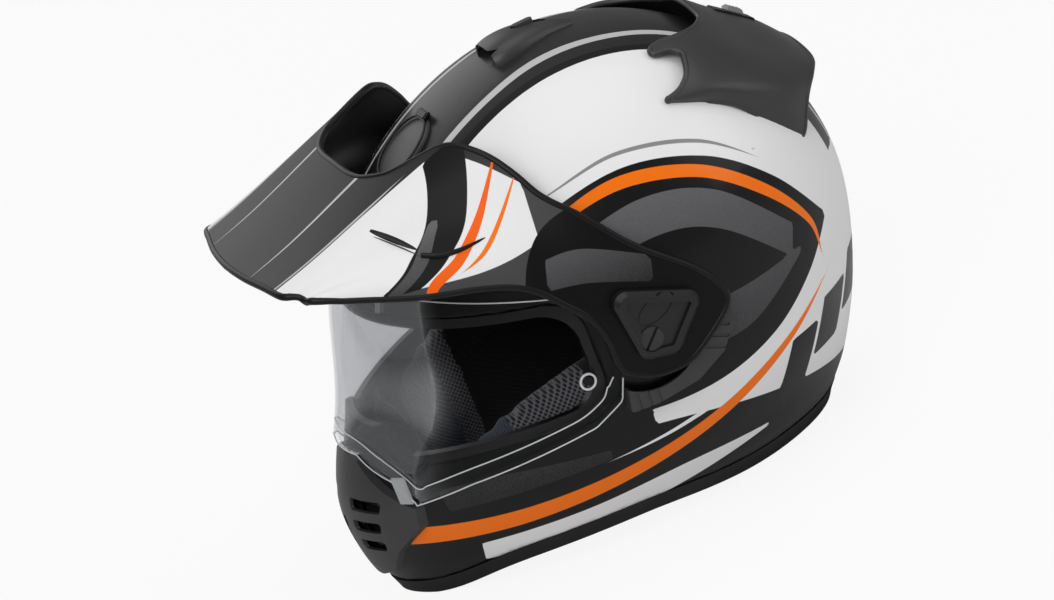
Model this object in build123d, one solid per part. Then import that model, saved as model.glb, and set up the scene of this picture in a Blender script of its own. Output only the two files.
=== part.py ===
from build123d import *
import os
from functools import lru_cache
from math import cos, sin, pi, copysign, hypot, radians

# A dual sport helmet: a painted shell with its liners and pads, a clear face shield and a
# long peak that both turn on the same axis through the temples, and three sliding vents.
# Millimetres. +X is the wearer's left, -Y the front, +Z up. While it is modelled, the
# origin is near the middle of the head, and heights are counted from the seam of the base trim.

# Driving sizes of the outer shell
SHELL_HALF_WIDTH = 130.0
SHELL_FRONT = 172.0
SHELL_REAR = 170.0
SHELL_HEIGHT = 257.0
SHELL_WALL = 4.0
PIVOT_HEIGHT = 119.0
PIVOT_Y = -4.0
OVERRUN = 60.0
SECTION_POINTS = 28
FIT_GAP = 0.3

# Each row is one level of the shell: its height, then its half width, front, rear and centre
# as shares of the driving sizes, and the exponent of its front half
DOME_SHARES = [
    (-0.155, 0.53, 0.850, 0.64, -0.045, 1.75),
    (-0.090, 0.61, 0.905, 0.69, -0.035, 1.75),
    (0.000, 0.685, 0.950, 0.75, -0.024, 1.80),
    (0.047, 0.755, 0.972, 0.80, -0.018, 1.80),
    (0.097, 0.815, 0.985, 0.84, -0.012, 1.80),
    (0.190, 0.910, 0.985, 0.90, 0.012, 1.82),
    (0.284, 0.968, 0.930, 0.947, 0.029, 1.86),
    (0.377, 0.994, 0.858, 0.982, 0.047, 1.92),
    (0.490, 1.000, 0.797, 1.000, 0.059, 2.00),
    (0.607, 0.975, 0.738, 0.976, 0.059, 2.05),
    (0.720, 0.902, 0.651, 0.906, 0.070, 2.10),
    (0.813, 0.788, 0.529, 0.800, 0.094, 2.10),
    (0.891, 0.646, 0.372, 0.670, 0.117, 2.10),
    (0.946, 0.490, 0.209, 0.530, 0.141, 2.10),
    (0.984, 0.290, 0.029, 0.350, 0.159, 2.10),
    (1.000, 0.120, -0.080, 0.235, 0.159, 2.10),
]
BELT_SHARE = PIVOT_HEIGHT / SHELL_HEIGHT
REAR_EXPONENT_SHARE = 2.1

# Lower rim of the shell and its rubber trim, as (y share of the shell's front, z share of
# the trim height)
TRIM_HEIGHT = 11.0
TRIM_WALL = 7.0
TRIM_OUTSET = 0.8
FLOOR_DROP = 12.0
RIM_SHARES = [(-1.15, -0.5), (-0.98, -0.3), (-0.79, 0.1), (-0.66, 0.7), (-0.47, 1.06), (-0.27, 1.15),
              (-0.13, 1.1), (0.03, 0.75), (0.24, 0.3), (0.49, 0.1), (0.8, -0.25), (1.15, -0.6)]
CHIN_TRIM_END = -88.0

# Eyeport, in the side view
EYEPORT_REAR = -32.0
EYEPORT_SIDE_FLOOR = 86.0
EYEPORT_FRONT_FLOOR = 70.0
EYEPORT_SIDE_ROOF = 152.0
EYEPORT_FRONT_ROOF = 174.0
EYEPORT_CORNER = 20.0
NOSE_RISE = 22.0
NOSE_HALF_WIDTH = 30.0
NOSE_FOOT_HALF_WIDTH = 68.0
GASKET_WIDTH = 5.0
GASKET_PROUD = 0.5

# Inner layers
EPS_THICKNESS = 30.0
COMFORT_THICKNESS = 10.0
CHIN_EPS_THICKNESS = 16.0

# Face shield
SHIELD_WALL = 2.0
SHIELD_SIDE_GAP = 1.5
SHIELD_FRONT_GAP = 6.0
SHIELD_BOTTOM = 60.0
SHIELD_NOSE_BOTTOM = 84.0
HUB_RADIUS = 16.0
BOSS_RADIUS = 7.0
BEARING_GAP = 0.05
PIN_Y = -42.0
PIN_HEIGHT = 106.0
PIN_RADIUS = 2.5
PIN_PROUD = 1.2

# Peak
PEAK_SIDE = 137.0
PEAK_WALL = 3.0
PEAK_LENGTH = 177.0
PEAK_CREST_HEIGHT = 249.0
PEAK_CREST_Y = -50.0
PEAK_FRONT_HALF = 86.0
NOTCH_LIP_Y = -99.0
NOTCH_LIP_HALF = 38.0
NOTCH_REAR_HALF = 74.0

# Temple pods and coin screws
POD_THICKNESS = 8.0
POD_RIM = 3.0
POD_RECESS = 2.0
SCREW_HEAD_RADIUS = 6.8
SCREW_SHANK_RADIUS = 4.0
SCREW_SLOT = 1.8
OVAL_GROOVE = 0.8

# Side covers below the peak's arms
COVER_FACE = 133.4
COVER_WALL = 2.0
COVER_CLEARANCE = 33.0
COVER_GROOVE = 2.0
COVER_GROOVE_DEPTH = 0.7
COVER_GROOVE_PITCH = 6.0
COVER_GROOVES = 3

# Crown vent
COWL_LENGTH = 52.0
COWL_HALF_WIDTH = 18.0
COWL_HEIGHT = 9.0
COWL_REAR_Y = 54.0
COWL_WALL = 2.0
CROWN_SLIDE = 6.0

# Rear spoiler
SPOILER_HALF_WIDTH = 88.0
SPOILER_WALL = 2.4

# Chin vent
CHIN_COVER_PROUD = 4.6
CHIN_COVER_WALL = 2.2
CHIN_SLOT_HEIGHT = 7.0
CHIN_SLOT_PITCH = 13.0
CHIN_SLOTS = 3

# Retention strap
STRAP_WIDTH = 20.0
STRAP_THICKNESS = 1.6
RING_WIRE = 3.0

# Outlines as shares, chosen by hand. Peak: (y share of PEAK_LENGTH, height above the temple
# axis as a share of PEAK_RISE); its rows give (x share of PEAK_SIDE, height share) pairs
PEAK_RISE = PEAK_CREST_HEIGHT - PIVOT_HEIGHT
PEAK_OUTLINE_SHARES = [
    (-1.31, 0.57), (-0.955, 0.61), (-0.847, 0.58), (-0.633, 0.52), (-0.435, 0.47), (-0.333, 0.40),
    (-0.232, 0.295), (-0.169, 0.18), (-0.141, 0.06), (-0.136, -0.08), (-0.079, -0.155), (0.0, -0.19),
    (0.085, -0.186), (0.169, -0.124), (0.243, -0.047), (0.26, 0.023), (0.215, 0.14), (0.13, 0.264),
    (-0.011, 0.442), (-0.113, 0.62), (-0.181, 0.783), (-0.243, 0.938), (-0.277, 1.085),
    (-0.305, 1.628), (-1.31, 1.628)]
PEAK_ROWS_SHARES = [
    (-1.073, [(0.657, -0.233), (0.657, 0.581), (0.584, 0.651), (0.496, 0.682), (0.0, 0.713)]),
    (-0.847, [(0.730, -0.233), (0.723, 0.581), (0.628, 0.682), (0.511, 0.760), (0.0, 0.798)]),
    (-0.599, [(0.847, -0.233), (0.832, 0.504), (0.686, 0.705), (0.518, 0.868), (0.0, 0.922)]),
    (-0.418, [(0.927, -0.233), (0.898, 0.450), (0.723, 0.729), (0.526, 0.946), (0.0, 1.023)]),
    (-0.282, [(0.978, -0.233), (0.956, 0.372), (0.774, 0.729), (0.540, 1.000), (0.0, 1.101)]),
    (-0.113, [(1.0, -0.233), (1.0, 0.171), (0.883, 0.612), (0.613, 1.023), (0.0, 1.163)]),
    (0.113, [(1.0, -0.233), (1.0, 0.155), (0.934, 0.504), (0.693, 1.008), (0.0, 1.202)]),
    (0.339, [(1.0, -0.233), (1.0, 0.155), (0.949, 0.504), (0.730, 1.008), (0.0, 1.202)])]
LOUVER_SHARES = [(-0.655, 0.828), (-0.510, 0.632), (-0.494, 0.655), (-0.640, 0.853)]
LOUVER_INNER = 60.0
POD_SIZE = 48.0
POD_OUTLINE_SHARES = [(-0.31, 0.75), (0.8, 0.24), (0.25, -0.32), (-0.17, -0.22)]
COVER_SIZE = 47.0
COVER_OUTLINE_SHARES = [(-0.40, 0.0), (-0.40, -0.44), (-0.49, -0.83), (-0.13, -0.87), (0.42, -0.83),
                        (0.83, -0.64), (1.08, -0.32), (1.08, 0.0)]
SHIELD_REACH = 177.0
SHIELD_DEPTH = 100.0
SHIELD_OUTLINE_SHARES = [(-0.034, 0.15), (-0.226, 0.37), (-0.621, 0.55), (-1.31, 0.64), (-1.31, -0.7),
                         (-0.847, -0.63), (-0.65, -0.54), (-0.452, -0.48), (-0.26, -0.42), (-0.158, -0.32),
                         (-0.13, -0.17), (-0.034, -0.14)]
SPOILER_ROWS_SHARES = [
    (0.353, [(0.955, 0.778), (0.977, 0.864), (1.000, 0.879), (0.682, 0.934), (0.000, 0.981)]),
    (0.441, [(0.955, 0.759), (0.977, 0.829), (1.000, 0.852), (0.659, 0.926), (0.000, 0.965)]),
    (0.541, [(0.955, 0.720), (0.989, 0.786), (1.000, 0.840), (0.636, 0.915), (0.000, 0.955)]),
    (0.665, [(0.955, 0.623), (0.989, 0.708), (0.977, 0.802), (0.591, 0.880), (0.000, 0.936)]),
    (0.800, [(0.795, 0.545), (0.886, 0.623), (0.886, 0.751), (0.523, 0.809), (0.000, 0.860)]),
    (0.924, [(0.636, 0.584), (0.727, 0.654), (0.705, 0.716), (0.477, 0.747), (0.000, 0.798)]),
    (1.012, [(0.545, 0.623), (0.568, 0.669), (0.545, 0.693), (0.409, 0.716), (0.000, 0.739)])]
SPOILER_PLAN_SHARES = [
    (0.34, 0.694), (0.43, 0.635), (0.52, 0.465), (0.60, 0.465), (0.68, 0.559), (0.84, 0.518),
    (0.95, 0.394), (1.02, 0.388), (1.06, 0.529), (1.06, 0.706), (0.95, 0.824), (0.75, 0.941),
    (0.45, 1.000), (0.14, 1.024)]
SPOILER_SIDE_SHARES = [
    (0.29, 0.817), (0.39, 0.829), (0.51, 0.794), (0.60, 0.751), (0.68, 0.677), (0.74, 0.634),
    (0.80, 0.611), (0.86, 0.646), (0.94, 0.669), (1.04, 0.685), (1.07, 0.747), (1.04, 1.167),
    (0.29, 1.167)]
CHIN_COVER_SHARES = [
    (0.0, 1.0), (0.3, 0.985), (0.72, 0.8), (1.0, 0.68), (0.96, 0.52), (0.6, 0.3), (0.4, 0.12), (0.15, 0.06)]
CHIN_COVER_HALF = 60.0
CHIN_COVER_TOP = 80.0
COWL_ROWS_SHARES = [
    (-0.02, 0.92, 0.86), (0.12, 1.0, 1.0), (0.4, 0.84, 1.0), (0.7, 0.5, 0.7), (1.0, 0.12, 0.12)]

# Inner pieces

PAD_REAR = 26.0
PAD_TOP = 106.0
PAD_POINTS = 20
PAD_EXPONENT_SHARE = 2.6
PAD_ROWS_SHARES = [
    (-0.615, 0.49, 0.05, 0.47, 0.20), (-0.535, 0.545, 0.11, 0.46, 0.32), (-0.36, 0.63, 0.155, 0.48, 0.405),
    (-0.145, 0.70, 0.165, 0.52, 0.46), (0.045, 0.71, 0.155, 0.50, 0.44), (0.13, 0.715, 0.11, 0.47, 0.33)]
EPS_BOTTOM = 24.0
LINER_SETBACK = 6.0
CHIN_LINER_REAR = -108.0
CHIN_LINER_BOTTOM = 12.0
GUARD_WALL = 2.5
GUARD_HALF_WIDTH = 50.0
GUARD_TOP = 98.0
ROLL_HALF_WIDTH = 80.0
ROLL_FRONT = 58.0
ROLL_REAR = 116.0
ROLL_HEIGHT = 6.0
ROLL_TALL = 30.0
ROLL_DEEP = 24.0
SHIELD_CORNER = 5.0
NOTCH_CORNER = 14.0
POD_CORNER = 7.0

REAR_LEVER_Y = 150.0
REAR_LEVER_TOP = 214.5
REAR_LEVER_SLOPE = 37.0
REAR_SLIDE = 5.0
CHIN_KNOB = 5.0
CHIN_SLIDE = 4.0
DISC_Y = -62.0
DISC_HEIGHT = 229.0
DISC_TILT = 48.0
DISC_RADIUS = 21.0
DISC_THICKNESS = 1.0
DISC_RIM = 2.0
STRAP_Y = 38.0
STRAP_BEND = 7.0
STRAP_END_X = -4.0
ANCHOR_X = 88.0
ANCHOR_HEIGHT = 20.0
ANCHOR_WALL = 1.6
ANCHOR_LENGTH = 12.0
RIVET_RADIUS = 2.4
RING_BAR_X = 46.0
RING_PITCH = 4.2
RING_INNER_HALF = 13.0
RING_OUTER_HALF = 17.2
RING_LENGTH = 16.0
SLIDER_TAB = 5.0
SLIDER_PROUD = 1.0


def dome_section(row, side, ends):
    """One level of the shell, as a closed curve; its halves follow a superellipse."""
    level, half_width, front, rear, centre, exponent = row
    width = half_width * (SHELL_HALF_WIDTH - side)
    middle = centre * SHELL_REAR
    ahead = front * (SHELL_FRONT - ends) + middle
    behind = rear * (SHELL_REAR - ends) - middle
    height = level * SHELL_HEIGHT
    if level > BELT_SHARE:
        above = SHELL_HEIGHT - PIVOT_HEIGHT
        height = PIVOT_HEIGHT + (height - PIVOT_HEIGHT) * (above - side) / above
    points = []
    for index in range(SECTION_POINTS):
        angle = 2 * pi * index / SECTION_POINTS + pi / 2
        power = 2 / (exponent if sin(angle) < 0 else REAR_EXPONENT_SHARE)
        reach = ahead if sin(angle) < 0 else behind
        x = width * copysign(abs(cos(angle)) ** power, cos(angle))
        y = middle + reach * copysign(abs(sin(angle)) ** power, sin(angle))
        points.append((x, y, height))
    return Wire([Edge.make_spline(points, periodic=True)])


@lru_cache(maxsize=None)
def dome(side, ends):
    """The shell's form as one solid, drawn in by side across and by ends along."""
    return Solid.make_loft([dome_section(row, side, ends) for row in DOME_SHARES])


def side_prism(outline, near, far, corner=0):
    """A prism across the helmet from a side-view outline of (y, z) points, from x = near to far."""
    loop = FilletPolyline(*outline, radius=corner, close=True) if corner else Polyline(*outline, close=True)
    face = Plane.YZ.offset(near) * make_face(loop)
    return extrude(face, amount=far - near)


def plan_prism(outline, corner=0):
    """A tall prism from a plan outline of (x, y) points."""
    loop = FilletPolyline(*outline, radius=corner, close=True) if corner else Polyline(*outline, close=True)
    return extrude(make_face(loop), amount=SHELL_HEIGHT + OVERRUN)


def front_prism(outline, near, far, corner=0):
    """A prism along the helmet from a front-view outline of (x, z) points, from y = near to far."""
    loop = FilletPolyline(*outline, radius=corner, close=True) if corner else Polyline(*outline, close=True)
    face = Plane.XZ.offset(-near) * make_face(loop)
    return extrude(face, amount=near - far)


def both_ways(points):
    return points + [(-x, y) for x, y in reversed(points)]


def mirrored(shape):
    return mirror(shape, about=Plane.YZ)


def axle(radius, near, far):
    """A round body on the temple axis, from x = near to x = far."""
    return Plane.YZ.offset(near) * Pos(PIVOT_Y, PIVOT_HEIGHT) * extrude(Circle(radius), amount=far - near)


def above_rim(drop):
    """The space above the shell's rim, lowered by drop."""
    curve = Spline(*[(y * SHELL_FRONT, z * TRIM_HEIGHT - drop) for y, z in RIM_SHARES])
    top = SHELL_HEIGHT + OVERRUN
    start, end = curve @ 0, curve @ 1
    walls = Polyline((end.X, end.Y), (end.X, top), (start.X, top), (start.X, start.Y))
    face = Plane.YZ.offset(-SHELL_HALF_WIDTH - OVERRUN) * make_face(curve + walls)
    return extrude(face, amount=2 * (SHELL_HALF_WIDTH + OVERRUN))


def hull(rows, half_width, length, base, rise, inset):
    """A long body lofted through mirrored cross-sections, each drawn in by inset."""
    wires = []
    for y, half in rows:
        points = [(x * half_width, base + z * rise) for x, z in half]
        points = drawn_in(points + [(-x, z) for x, z in reversed(points[:-1])], inset)
        wires.append(Wire.make_polygon([(x, y * length, z) for x, z in points], close=True))
    return Solid.make_loft(wires)


def drawn_in(points, inset):
    """An open line of (x, z) points moved inward by inset, at mitred corners."""
    if not inset:
        return points
    moved = []
    for index, (x, z) in enumerate(points):
        before = points[max(index - 1, 0)]
        after = points[min(index + 1, len(points) - 1)]
        first = normal(before, (x, z)) if index else normal((x, z), after)
        second = normal((x, z), after) if index < len(points) - 1 else first
        reach = inset / (1 + first[0] * second[0] + first[1] * second[1])
        moved.append((x + reach * (first[0] + second[0]), z + reach * (first[1] + second[1])))
    return moved


def normal(start, end):
    run, rise = end[0] - start[0], end[1] - start[1]
    length = hypot(run, rise)
    return -rise / length, run / length


def eyeport(grow):
    """The eye opening, cut right through, larger by grow on each side."""
    front = -SHELL_FRONT - OVERRUN
    rear = EYEPORT_REAR + grow
    sides = [(rear, EYEPORT_SIDE_FLOOR - grow), (rear, EYEPORT_SIDE_ROOF + grow),
             (front, EYEPORT_FRONT_ROOF + grow), (front, EYEPORT_FRONT_FLOOR - grow)]
    reach = SHELL_HALF_WIDTH + OVERRUN
    opening = side_prism(sides, -reach, reach, EYEPORT_CORNER)
    top = EYEPORT_FRONT_FLOOR + NOSE_RISE - grow
    foot = EYEPORT_FRONT_FLOOR - grow
    half = NOSE_FOOT_HALF_WIDTH
    nose = both_ways([(half, foot - NOSE_RISE), (half, foot), (NOSE_HALF_WIDTH, top)])
    bend = NOSE_RISE / 2
    return opening - front_prism(nose, EYEPORT_REAR, front, [0, bend, bend, bend, bend, 0])


def outer_shell():
    body = above_rim(0) & dome(0, 0)
    return body - [dome(SHELL_WALL, SHELL_WALL), eyeport(0), crown_port(), chin_port(), mirrored(chin_port())]


def crown_port():
    return Pos(0, COWL_REAR_Y - COWL_LENGTH / 2, SHELL_HEIGHT - 2 * COWL_HEIGHT) * extrude(
        SlotOverall(COWL_HALF_WIDTH, COWL_HALF_WIDTH / 3), amount=3 * COWL_HEIGHT)


def chin_port():
    """The hole in the chin bar behind one side's vent slots."""
    low = CHIN_COVER_TOP * 0.36
    high = CHIN_COVER_TOP * 0.68
    near = CHIN_COVER_HALF * 0.22
    far = CHIN_COVER_HALF * 0.55
    outline = [(near, low), (far, low), (far, high), (near, high)]
    return front_prism(outline, -SHELL_FRONT / 2, -SHELL_FRONT - OVERRUN, CHIN_COVER_WALL)


def eyeport_gasket():
    """The rubber lip that lines the cut edge of the eyeport."""
    return layer(eyeport(0) - eyeport(-GASKET_WIDTH), -GASKET_PROUD, SHELL_WALL + GASKET_PROUD)


def trim_band():
    """The rubber bead under the shell's rim, cut flat where the helmet rests."""
    band = (above_rim(TRIM_HEIGHT) & floor_block()) - above_rim(0)
    return layer(band, -TRIM_OUTSET, TRIM_WALL - TRIM_OUTSET)


def layer(region, outer, inner):
    """The part of a region between two drawn-in copies of the shell's form."""
    return (region & dome(outer, outer)) - dome(inner, inner)


def floor_block():
    size = 4 * SHELL_FRONT
    return Pos(0, 0, size / 2 - FLOOR_DROP) * Box(size, size, size)


def ahead_of(y):
    size = 4 * SHELL_FRONT
    return Pos(0, y - size / 2, 0) * Box(size, size, size)


def base_trim():
    return trim_band() - ahead_of(CHIN_TRIM_END)


def chin_trim():
    return trim_band() & ahead_of(CHIN_TRIM_END)


def face_zone(grow):
    """The space in front of the ears and below the brow, which the crown layers leave free."""
    front = -SHELL_FRONT - OVERRUN
    reach = SHELL_HALF_WIDTH + OVERRUN
    ear = PAD_REAR + grow
    temple = EYEPORT_REAR + LINER_SETBACK + grow
    points = [(ear, -OVERRUN), (ear, PAD_TOP + grow), (temple, PAD_TOP + grow),
              (temple, EYEPORT_SIDE_ROOF + grow), (front, EYEPORT_FRONT_ROOF + grow), (front, -OVERRUN)]
    return side_prism(points, -reach, reach)


def impact_liner():
    outer = SHELL_WALL + FIT_GAP
    inner = SHELL_WALL + EPS_THICKNESS
    return dome(outer, outer) - [dome(inner, inner), face_zone(0), below(EPS_BOTTOM)]


def below(level):
    size = 4 * SHELL_FRONT
    return Pos(0, 0, level - size / 2) * Box(size, size, size)


def chin_liner():
    outer = SHELL_WALL + FIT_GAP
    inner = SHELL_WALL + CHIN_EPS_THICKNESS
    region = ahead_of(CHIN_LINER_REAR) & below(EYEPORT_FRONT_FLOOR - GASKET_WIDTH)
    return layer(region - below(CHIN_LINER_BOTTOM), outer, inner)


def breath_guard():
    outer = SHELL_WALL + CHIN_EPS_THICKNESS + FIT_GAP
    inner = outer + GUARD_WALL
    half = GUARD_HALF_WIDTH
    outline = both_ways([(half * 0.86, CHIN_LINER_BOTTOM + GUARD_WALL), (half, EYEPORT_FRONT_FLOOR * 0.9),
                         (half * 0.7, GUARD_TOP * 0.88), (half * 0.4, GUARD_TOP)])
    region = front_prism(outline, EYEPORT_REAR, -SHELL_FRONT - OVERRUN, 2 * GUARD_WALL)
    return layer(region, outer, inner)


def comfort_liner():
    outer = SHELL_WALL + EPS_THICKNESS + FIT_GAP
    inner = outer + COMFORT_THICKNESS
    return dome(outer, outer) - [dome(inner, inner), face_zone(FIT_GAP), below(EPS_BOTTOM)]


def cheek_pad():
    """A crowned pad that fills the side of the chin bar, with ends and edges drawn in."""
    wires = []
    for y, middle, half, centre, height in PAD_ROWS_SHARES:
        points = []
        for index in range(PAD_POINTS):
            angle = 2 * pi * index / PAD_POINTS
            x = middle * SHELL_HALF_WIDTH + half * SHELL_HALF_WIDTH * rounded(cos(angle))
            z = centre * PAD_TOP + height * PAD_TOP * rounded(sin(angle))
            points.append((x, y * SHELL_FRONT, z))
        wires.append(Wire([Edge.make_spline(points, periodic=True)]))
    gap = SHELL_WALL + FIT_GAP
    inner = TRIM_WALL - TRIM_OUTSET + FIT_GAP
    return Solid.make_loft(wires) & ((above_rim(-FIT_GAP) & dome(gap, gap)) + dome(inner, inner))


def rounded(value):
    return copysign(abs(value) ** (2 / PAD_EXPONENT_SHARE), value)


def neck_roll():
    ends = (ROLL_HALF_WIDTH, ROLL_FRONT)
    quarter = (ROLL_HALF_WIDTH * 0.83, ROLL_REAR * 0.72)
    path = Spline(ends, quarter, (0, ROLL_REAR), (-quarter[0], quarter[1]), (-ends[0], ends[1]))
    path = Pos(0, 0, ROLL_HEIGHT) * path
    start = path @ 0
    profile = Plane(origin=start, x_dir=(0, 0, 1), z_dir=path % 0) * Ellipse(ROLL_TALL / 2, ROLL_DEEP / 2)
    gap = TRIM_WALL + FIT_GAP
    return sweep(profile, path=path) & dome(gap, gap)


def shield_span():
    """The side-view region of the shield, with its round hubs."""
    outline = [(y * SHIELD_REACH, PIVOT_HEIGHT + z * SHIELD_DEPTH) for y, z in SHIELD_OUTLINE_SHARES]
    reach = SHELL_HALF_WIDTH + OVERRUN
    span = side_prism(outline, -reach, reach, SHIELD_CORNER)
    foot = NOSE_FOOT_HALF_WIDTH
    notch = both_ways([(foot, SHIELD_BOTTOM - NOSE_RISE), (foot * 0.92, SHIELD_BOTTOM),
                       (foot * 0.75, (SHIELD_BOTTOM + SHIELD_NOSE_BOTTOM) / 2),
                       (foot * 0.32, SHIELD_NOSE_BOTTOM)])
    return span - front_prism(notch, -SHELL_FRONT / 2, -SHELL_FRONT - OVERRUN, SHIELD_CORNER / 2)


def face_shield():
    side_outer = -SHIELD_SIDE_GAP - SHIELD_WALL
    front_outer = -SHIELD_FRONT_GAP - SHIELD_WALL
    body = shield_span() & dome(side_outer, front_outer)
    body = body - dome(-SHIELD_SIDE_GAP, -SHIELD_FRONT_GAP)
    near = SHELL_HALF_WIDTH + SHIELD_SIDE_GAP
    hub = axle(HUB_RADIUS, near, near + SHIELD_WALL)
    bore = axle(BOSS_RADIUS + BEARING_GAP, near - SHIELD_WALL, near + 2 * SHIELD_WALL)
    clear = axle(HUB_RADIUS, near - 2 * SHIELD_WALL, near + 2 * SHIELD_WALL)
    hole = shield_pin_hole()
    return body - [clear, mirrored(clear), hole, mirrored(hole)] + [hub - bore, mirrored(hub - bore)]


def shield_pin():
    """The post near the shield's lower rear corner, through the shield's wall."""
    face = SHELL_HALF_WIDTH + SHIELD_SIDE_GAP + SHIELD_WALL
    place = Plane.YZ.offset(SHELL_HALF_WIDTH / 2) * Pos(PIN_Y, PIN_HEIGHT)
    body = place * extrude(Circle(PIN_RADIUS), amount=face)
    outer = SHIELD_SIDE_GAP + SHIELD_WALL + PIN_PROUD
    inner = SHIELD_SIDE_GAP - PIN_PROUD / 2
    return layer(body, -outer, -inner)


def shield_pin_hole():
    return Plane.YZ.offset(SHELL_HALF_WIDTH / 2) * Pos(PIN_Y, PIN_HEIGHT) * extrude(
        Circle(PIN_RADIUS + BEARING_GAP), amount=SHELL_HALF_WIDTH)


def pivot_base():
    """The seat of the shield's hub on the shell, with the boss that carries shield and peak."""
    near = SHELL_HALF_WIDTH + SHIELD_SIDE_GAP
    seat = axle(HUB_RADIUS, near - OVERRUN / 4, near - FIT_GAP)
    boss = axle(BOSS_RADIUS, near - OVERRUN / 4, PEAK_SIDE - PEAK_WALL - FIT_GAP)
    thread = axle(SCREW_SHANK_RADIUS + BEARING_GAP, near - OVERRUN / 4, PEAK_SIDE)
    return seat + boss - dome(0, 0) - thread


def peak():
    args = (PEAK_ROWS_SHARES, PEAK_SIDE, PEAK_LENGTH, PIVOT_HEIGHT, PEAK_RISE)
    outline = peak_points(PEAK_OUTLINE_SHARES)
    wide = PEAK_FRONT_HALF * 1.7
    front = [(wide, SHELL_REAR), (wide, -PEAK_LENGTH * 0.5), (PEAK_FRONT_HALF, -PEAK_LENGTH * 0.94),
             (PEAK_FRONT_HALF * 0.8, -PEAK_LENGTH * 0.99)]
    half = NOTCH_REAR_HALF
    notch = [(NOTCH_LIP_HALF, NOTCH_LIP_Y), (half, PEAK_CREST_Y), (half, SHELL_REAR)]
    bore = axle(SCREW_SHANK_RADIUS + BEARING_GAP, SHELL_HALF_WIDTH, PEAK_SIDE + PEAK_WALL)
    skin = hull(*args, 0) & side_prism(outline, -PEAK_SIDE, PEAK_SIDE)
    skin = skin & plan_prism(both_ways(front), PEAK_WALL * 2)
    corners = [NOTCH_CORNER, 0, 0, 0, 0, NOTCH_CORNER]
    tools = [hull(*args, PEAK_WALL), plan_prism(both_ways(notch), corners), bore, mirrored(bore)]
    louver = side_prism(peak_points(LOUVER_SHARES), LOUVER_INNER, PEAK_SIDE + PEAK_WALL, PEAK_WALL / 2)
    return skin - tools - [louver, mirrored(louver)]


def peak_points(shares):
    """Side-view points of the peak, from shares of its length and its rise."""
    return [(y * PEAK_LENGTH, PIVOT_HEIGHT + z * PEAK_RISE) for y, z in shares]



def pod_cap():
    outline = [(PIVOT_Y + y * POD_SIZE, PIVOT_HEIGHT + z * POD_SIZE) for y, z in POD_OUTLINE_SHARES]
    body = side_prism(outline, PEAK_SIDE, PEAK_SIDE + POD_THICKNESS, POD_CORNER)
    rim = body.faces().sort_by(Axis.X)[-1]
    body = chamfer(rim.edges(), POD_RIM, POD_RIM * 0.8)
    face = offset(rim, -2 * POD_RIM, kind=Kind.ARC)
    body = body - extrude(face, amount=-POD_RECESS)
    top = PEAK_SIDE + POD_THICKNESS
    seat = axle(SCREW_HEAD_RADIUS + FIT_GAP, top - 2 * POD_RECESS, top + POD_RECESS)
    return body - [seat, axle(SCREW_SHANK_RADIUS + BEARING_GAP, SHELL_HALF_WIDTH, top), pod_oval()]


def pod_oval():
    """A plain oval groove above the screw."""
    place = Pos(PIVOT_Y + POD_SIZE * 0.17, PIVOT_HEIGHT + POD_SIZE * 0.31) * Rot(0, 0, 20)
    size = POD_SIZE * 0.24
    ring = Ellipse(size + OVAL_GROOVE, size / 2 + OVAL_GROOVE) - Ellipse(size, size / 2)
    floor = PEAK_SIDE + POD_THICKNESS - POD_RECESS - OVAL_GROOVE / 2
    return Plane.YZ.offset(floor) * place * extrude(ring, amount=POD_RECESS)


def coin_screw():
    top = PEAK_SIDE + POD_THICKNESS - POD_RECESS / 2
    base = PEAK_SIDE + POD_THICKNESS - 2 * POD_RECESS + FIT_GAP
    head = axle(SCREW_HEAD_RADIUS, base, top)
    slot = Plane.YZ.offset(top - SCREW_SLOT) * Pos(PIVOT_Y, PIVOT_HEIGHT) * Rot(0, 0, 45) * extrude(
        Rectangle(3 * SCREW_HEAD_RADIUS, SCREW_SLOT), amount=2 * SCREW_SLOT)
    shank = axle(SCREW_SHANK_RADIUS, SHELL_HALF_WIDTH + FIT_GAP, base)
    return head + shank - slot


def side_cover():
    """The grooved cover below the arm, a shallow tray that stands on the shell."""
    outline = [(PIVOT_Y + y * COVER_SIZE, PIVOT_HEIGHT + z * COVER_SIZE) for y, z in COVER_OUTLINE_SHARES]
    low = SHELL_HALF_WIDTH - OVERRUN / 2
    body = side_prism(outline, low, COVER_FACE, COVER_WALL)
    frame = Plane.YZ.offset(low) * make_face(FilletPolyline(*outline, radius=COVER_WALL, close=True))
    inner = extrude(offset(frame, -COVER_WALL, kind=Kind.ARC), amount=COVER_FACE - COVER_WALL - low)
    clear = axle(COVER_CLEARANCE, low - COVER_WALL, COVER_FACE + COVER_WALL)
    return body - [inner, clear, dome(0, 0)] - cover_grooves()


def cover_grooves():
    """Three upright grooves at the cover's front and three slanting ones at its rear."""
    grooves = []
    for index in range(COVER_GROOVES):
        step = index * COVER_GROOVE_PITCH
        grooves.append(groove(-COVER_SIZE * 0.36 + step, -COVER_SIZE * 0.78, 0))
        grooves.append(groove(COVER_SIZE * 0.86 - step * 0.4, -COVER_SIZE * 0.3 - step, 65))
    return grooves


def groove(along, up, lean):
    """A shallow channel in the cover's face, at a place counted from the temple axis."""
    place = Pos(PIVOT_Y + along, PIVOT_HEIGHT + up) * Rot(0, 0, lean)
    outline = SlotOverall(COVER_SIZE * 0.3, COVER_GROOVE, 90)
    return Plane.YZ.offset(COVER_FACE - COVER_GROOVE_DEPTH) * place * extrude(outline, amount=COVER_WALL)


def crown_vent_cowl():
    body = cowl_body(0) - dome(0, 0)
    cavity = cowl_body(COWL_WALL)
    front = COWL_REAR_Y - COWL_LENGTH
    mouth = Pos(0, front, 0) * cowl_mouth()
    body = body - cavity - mouth
    return body - slider_slot()


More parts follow.
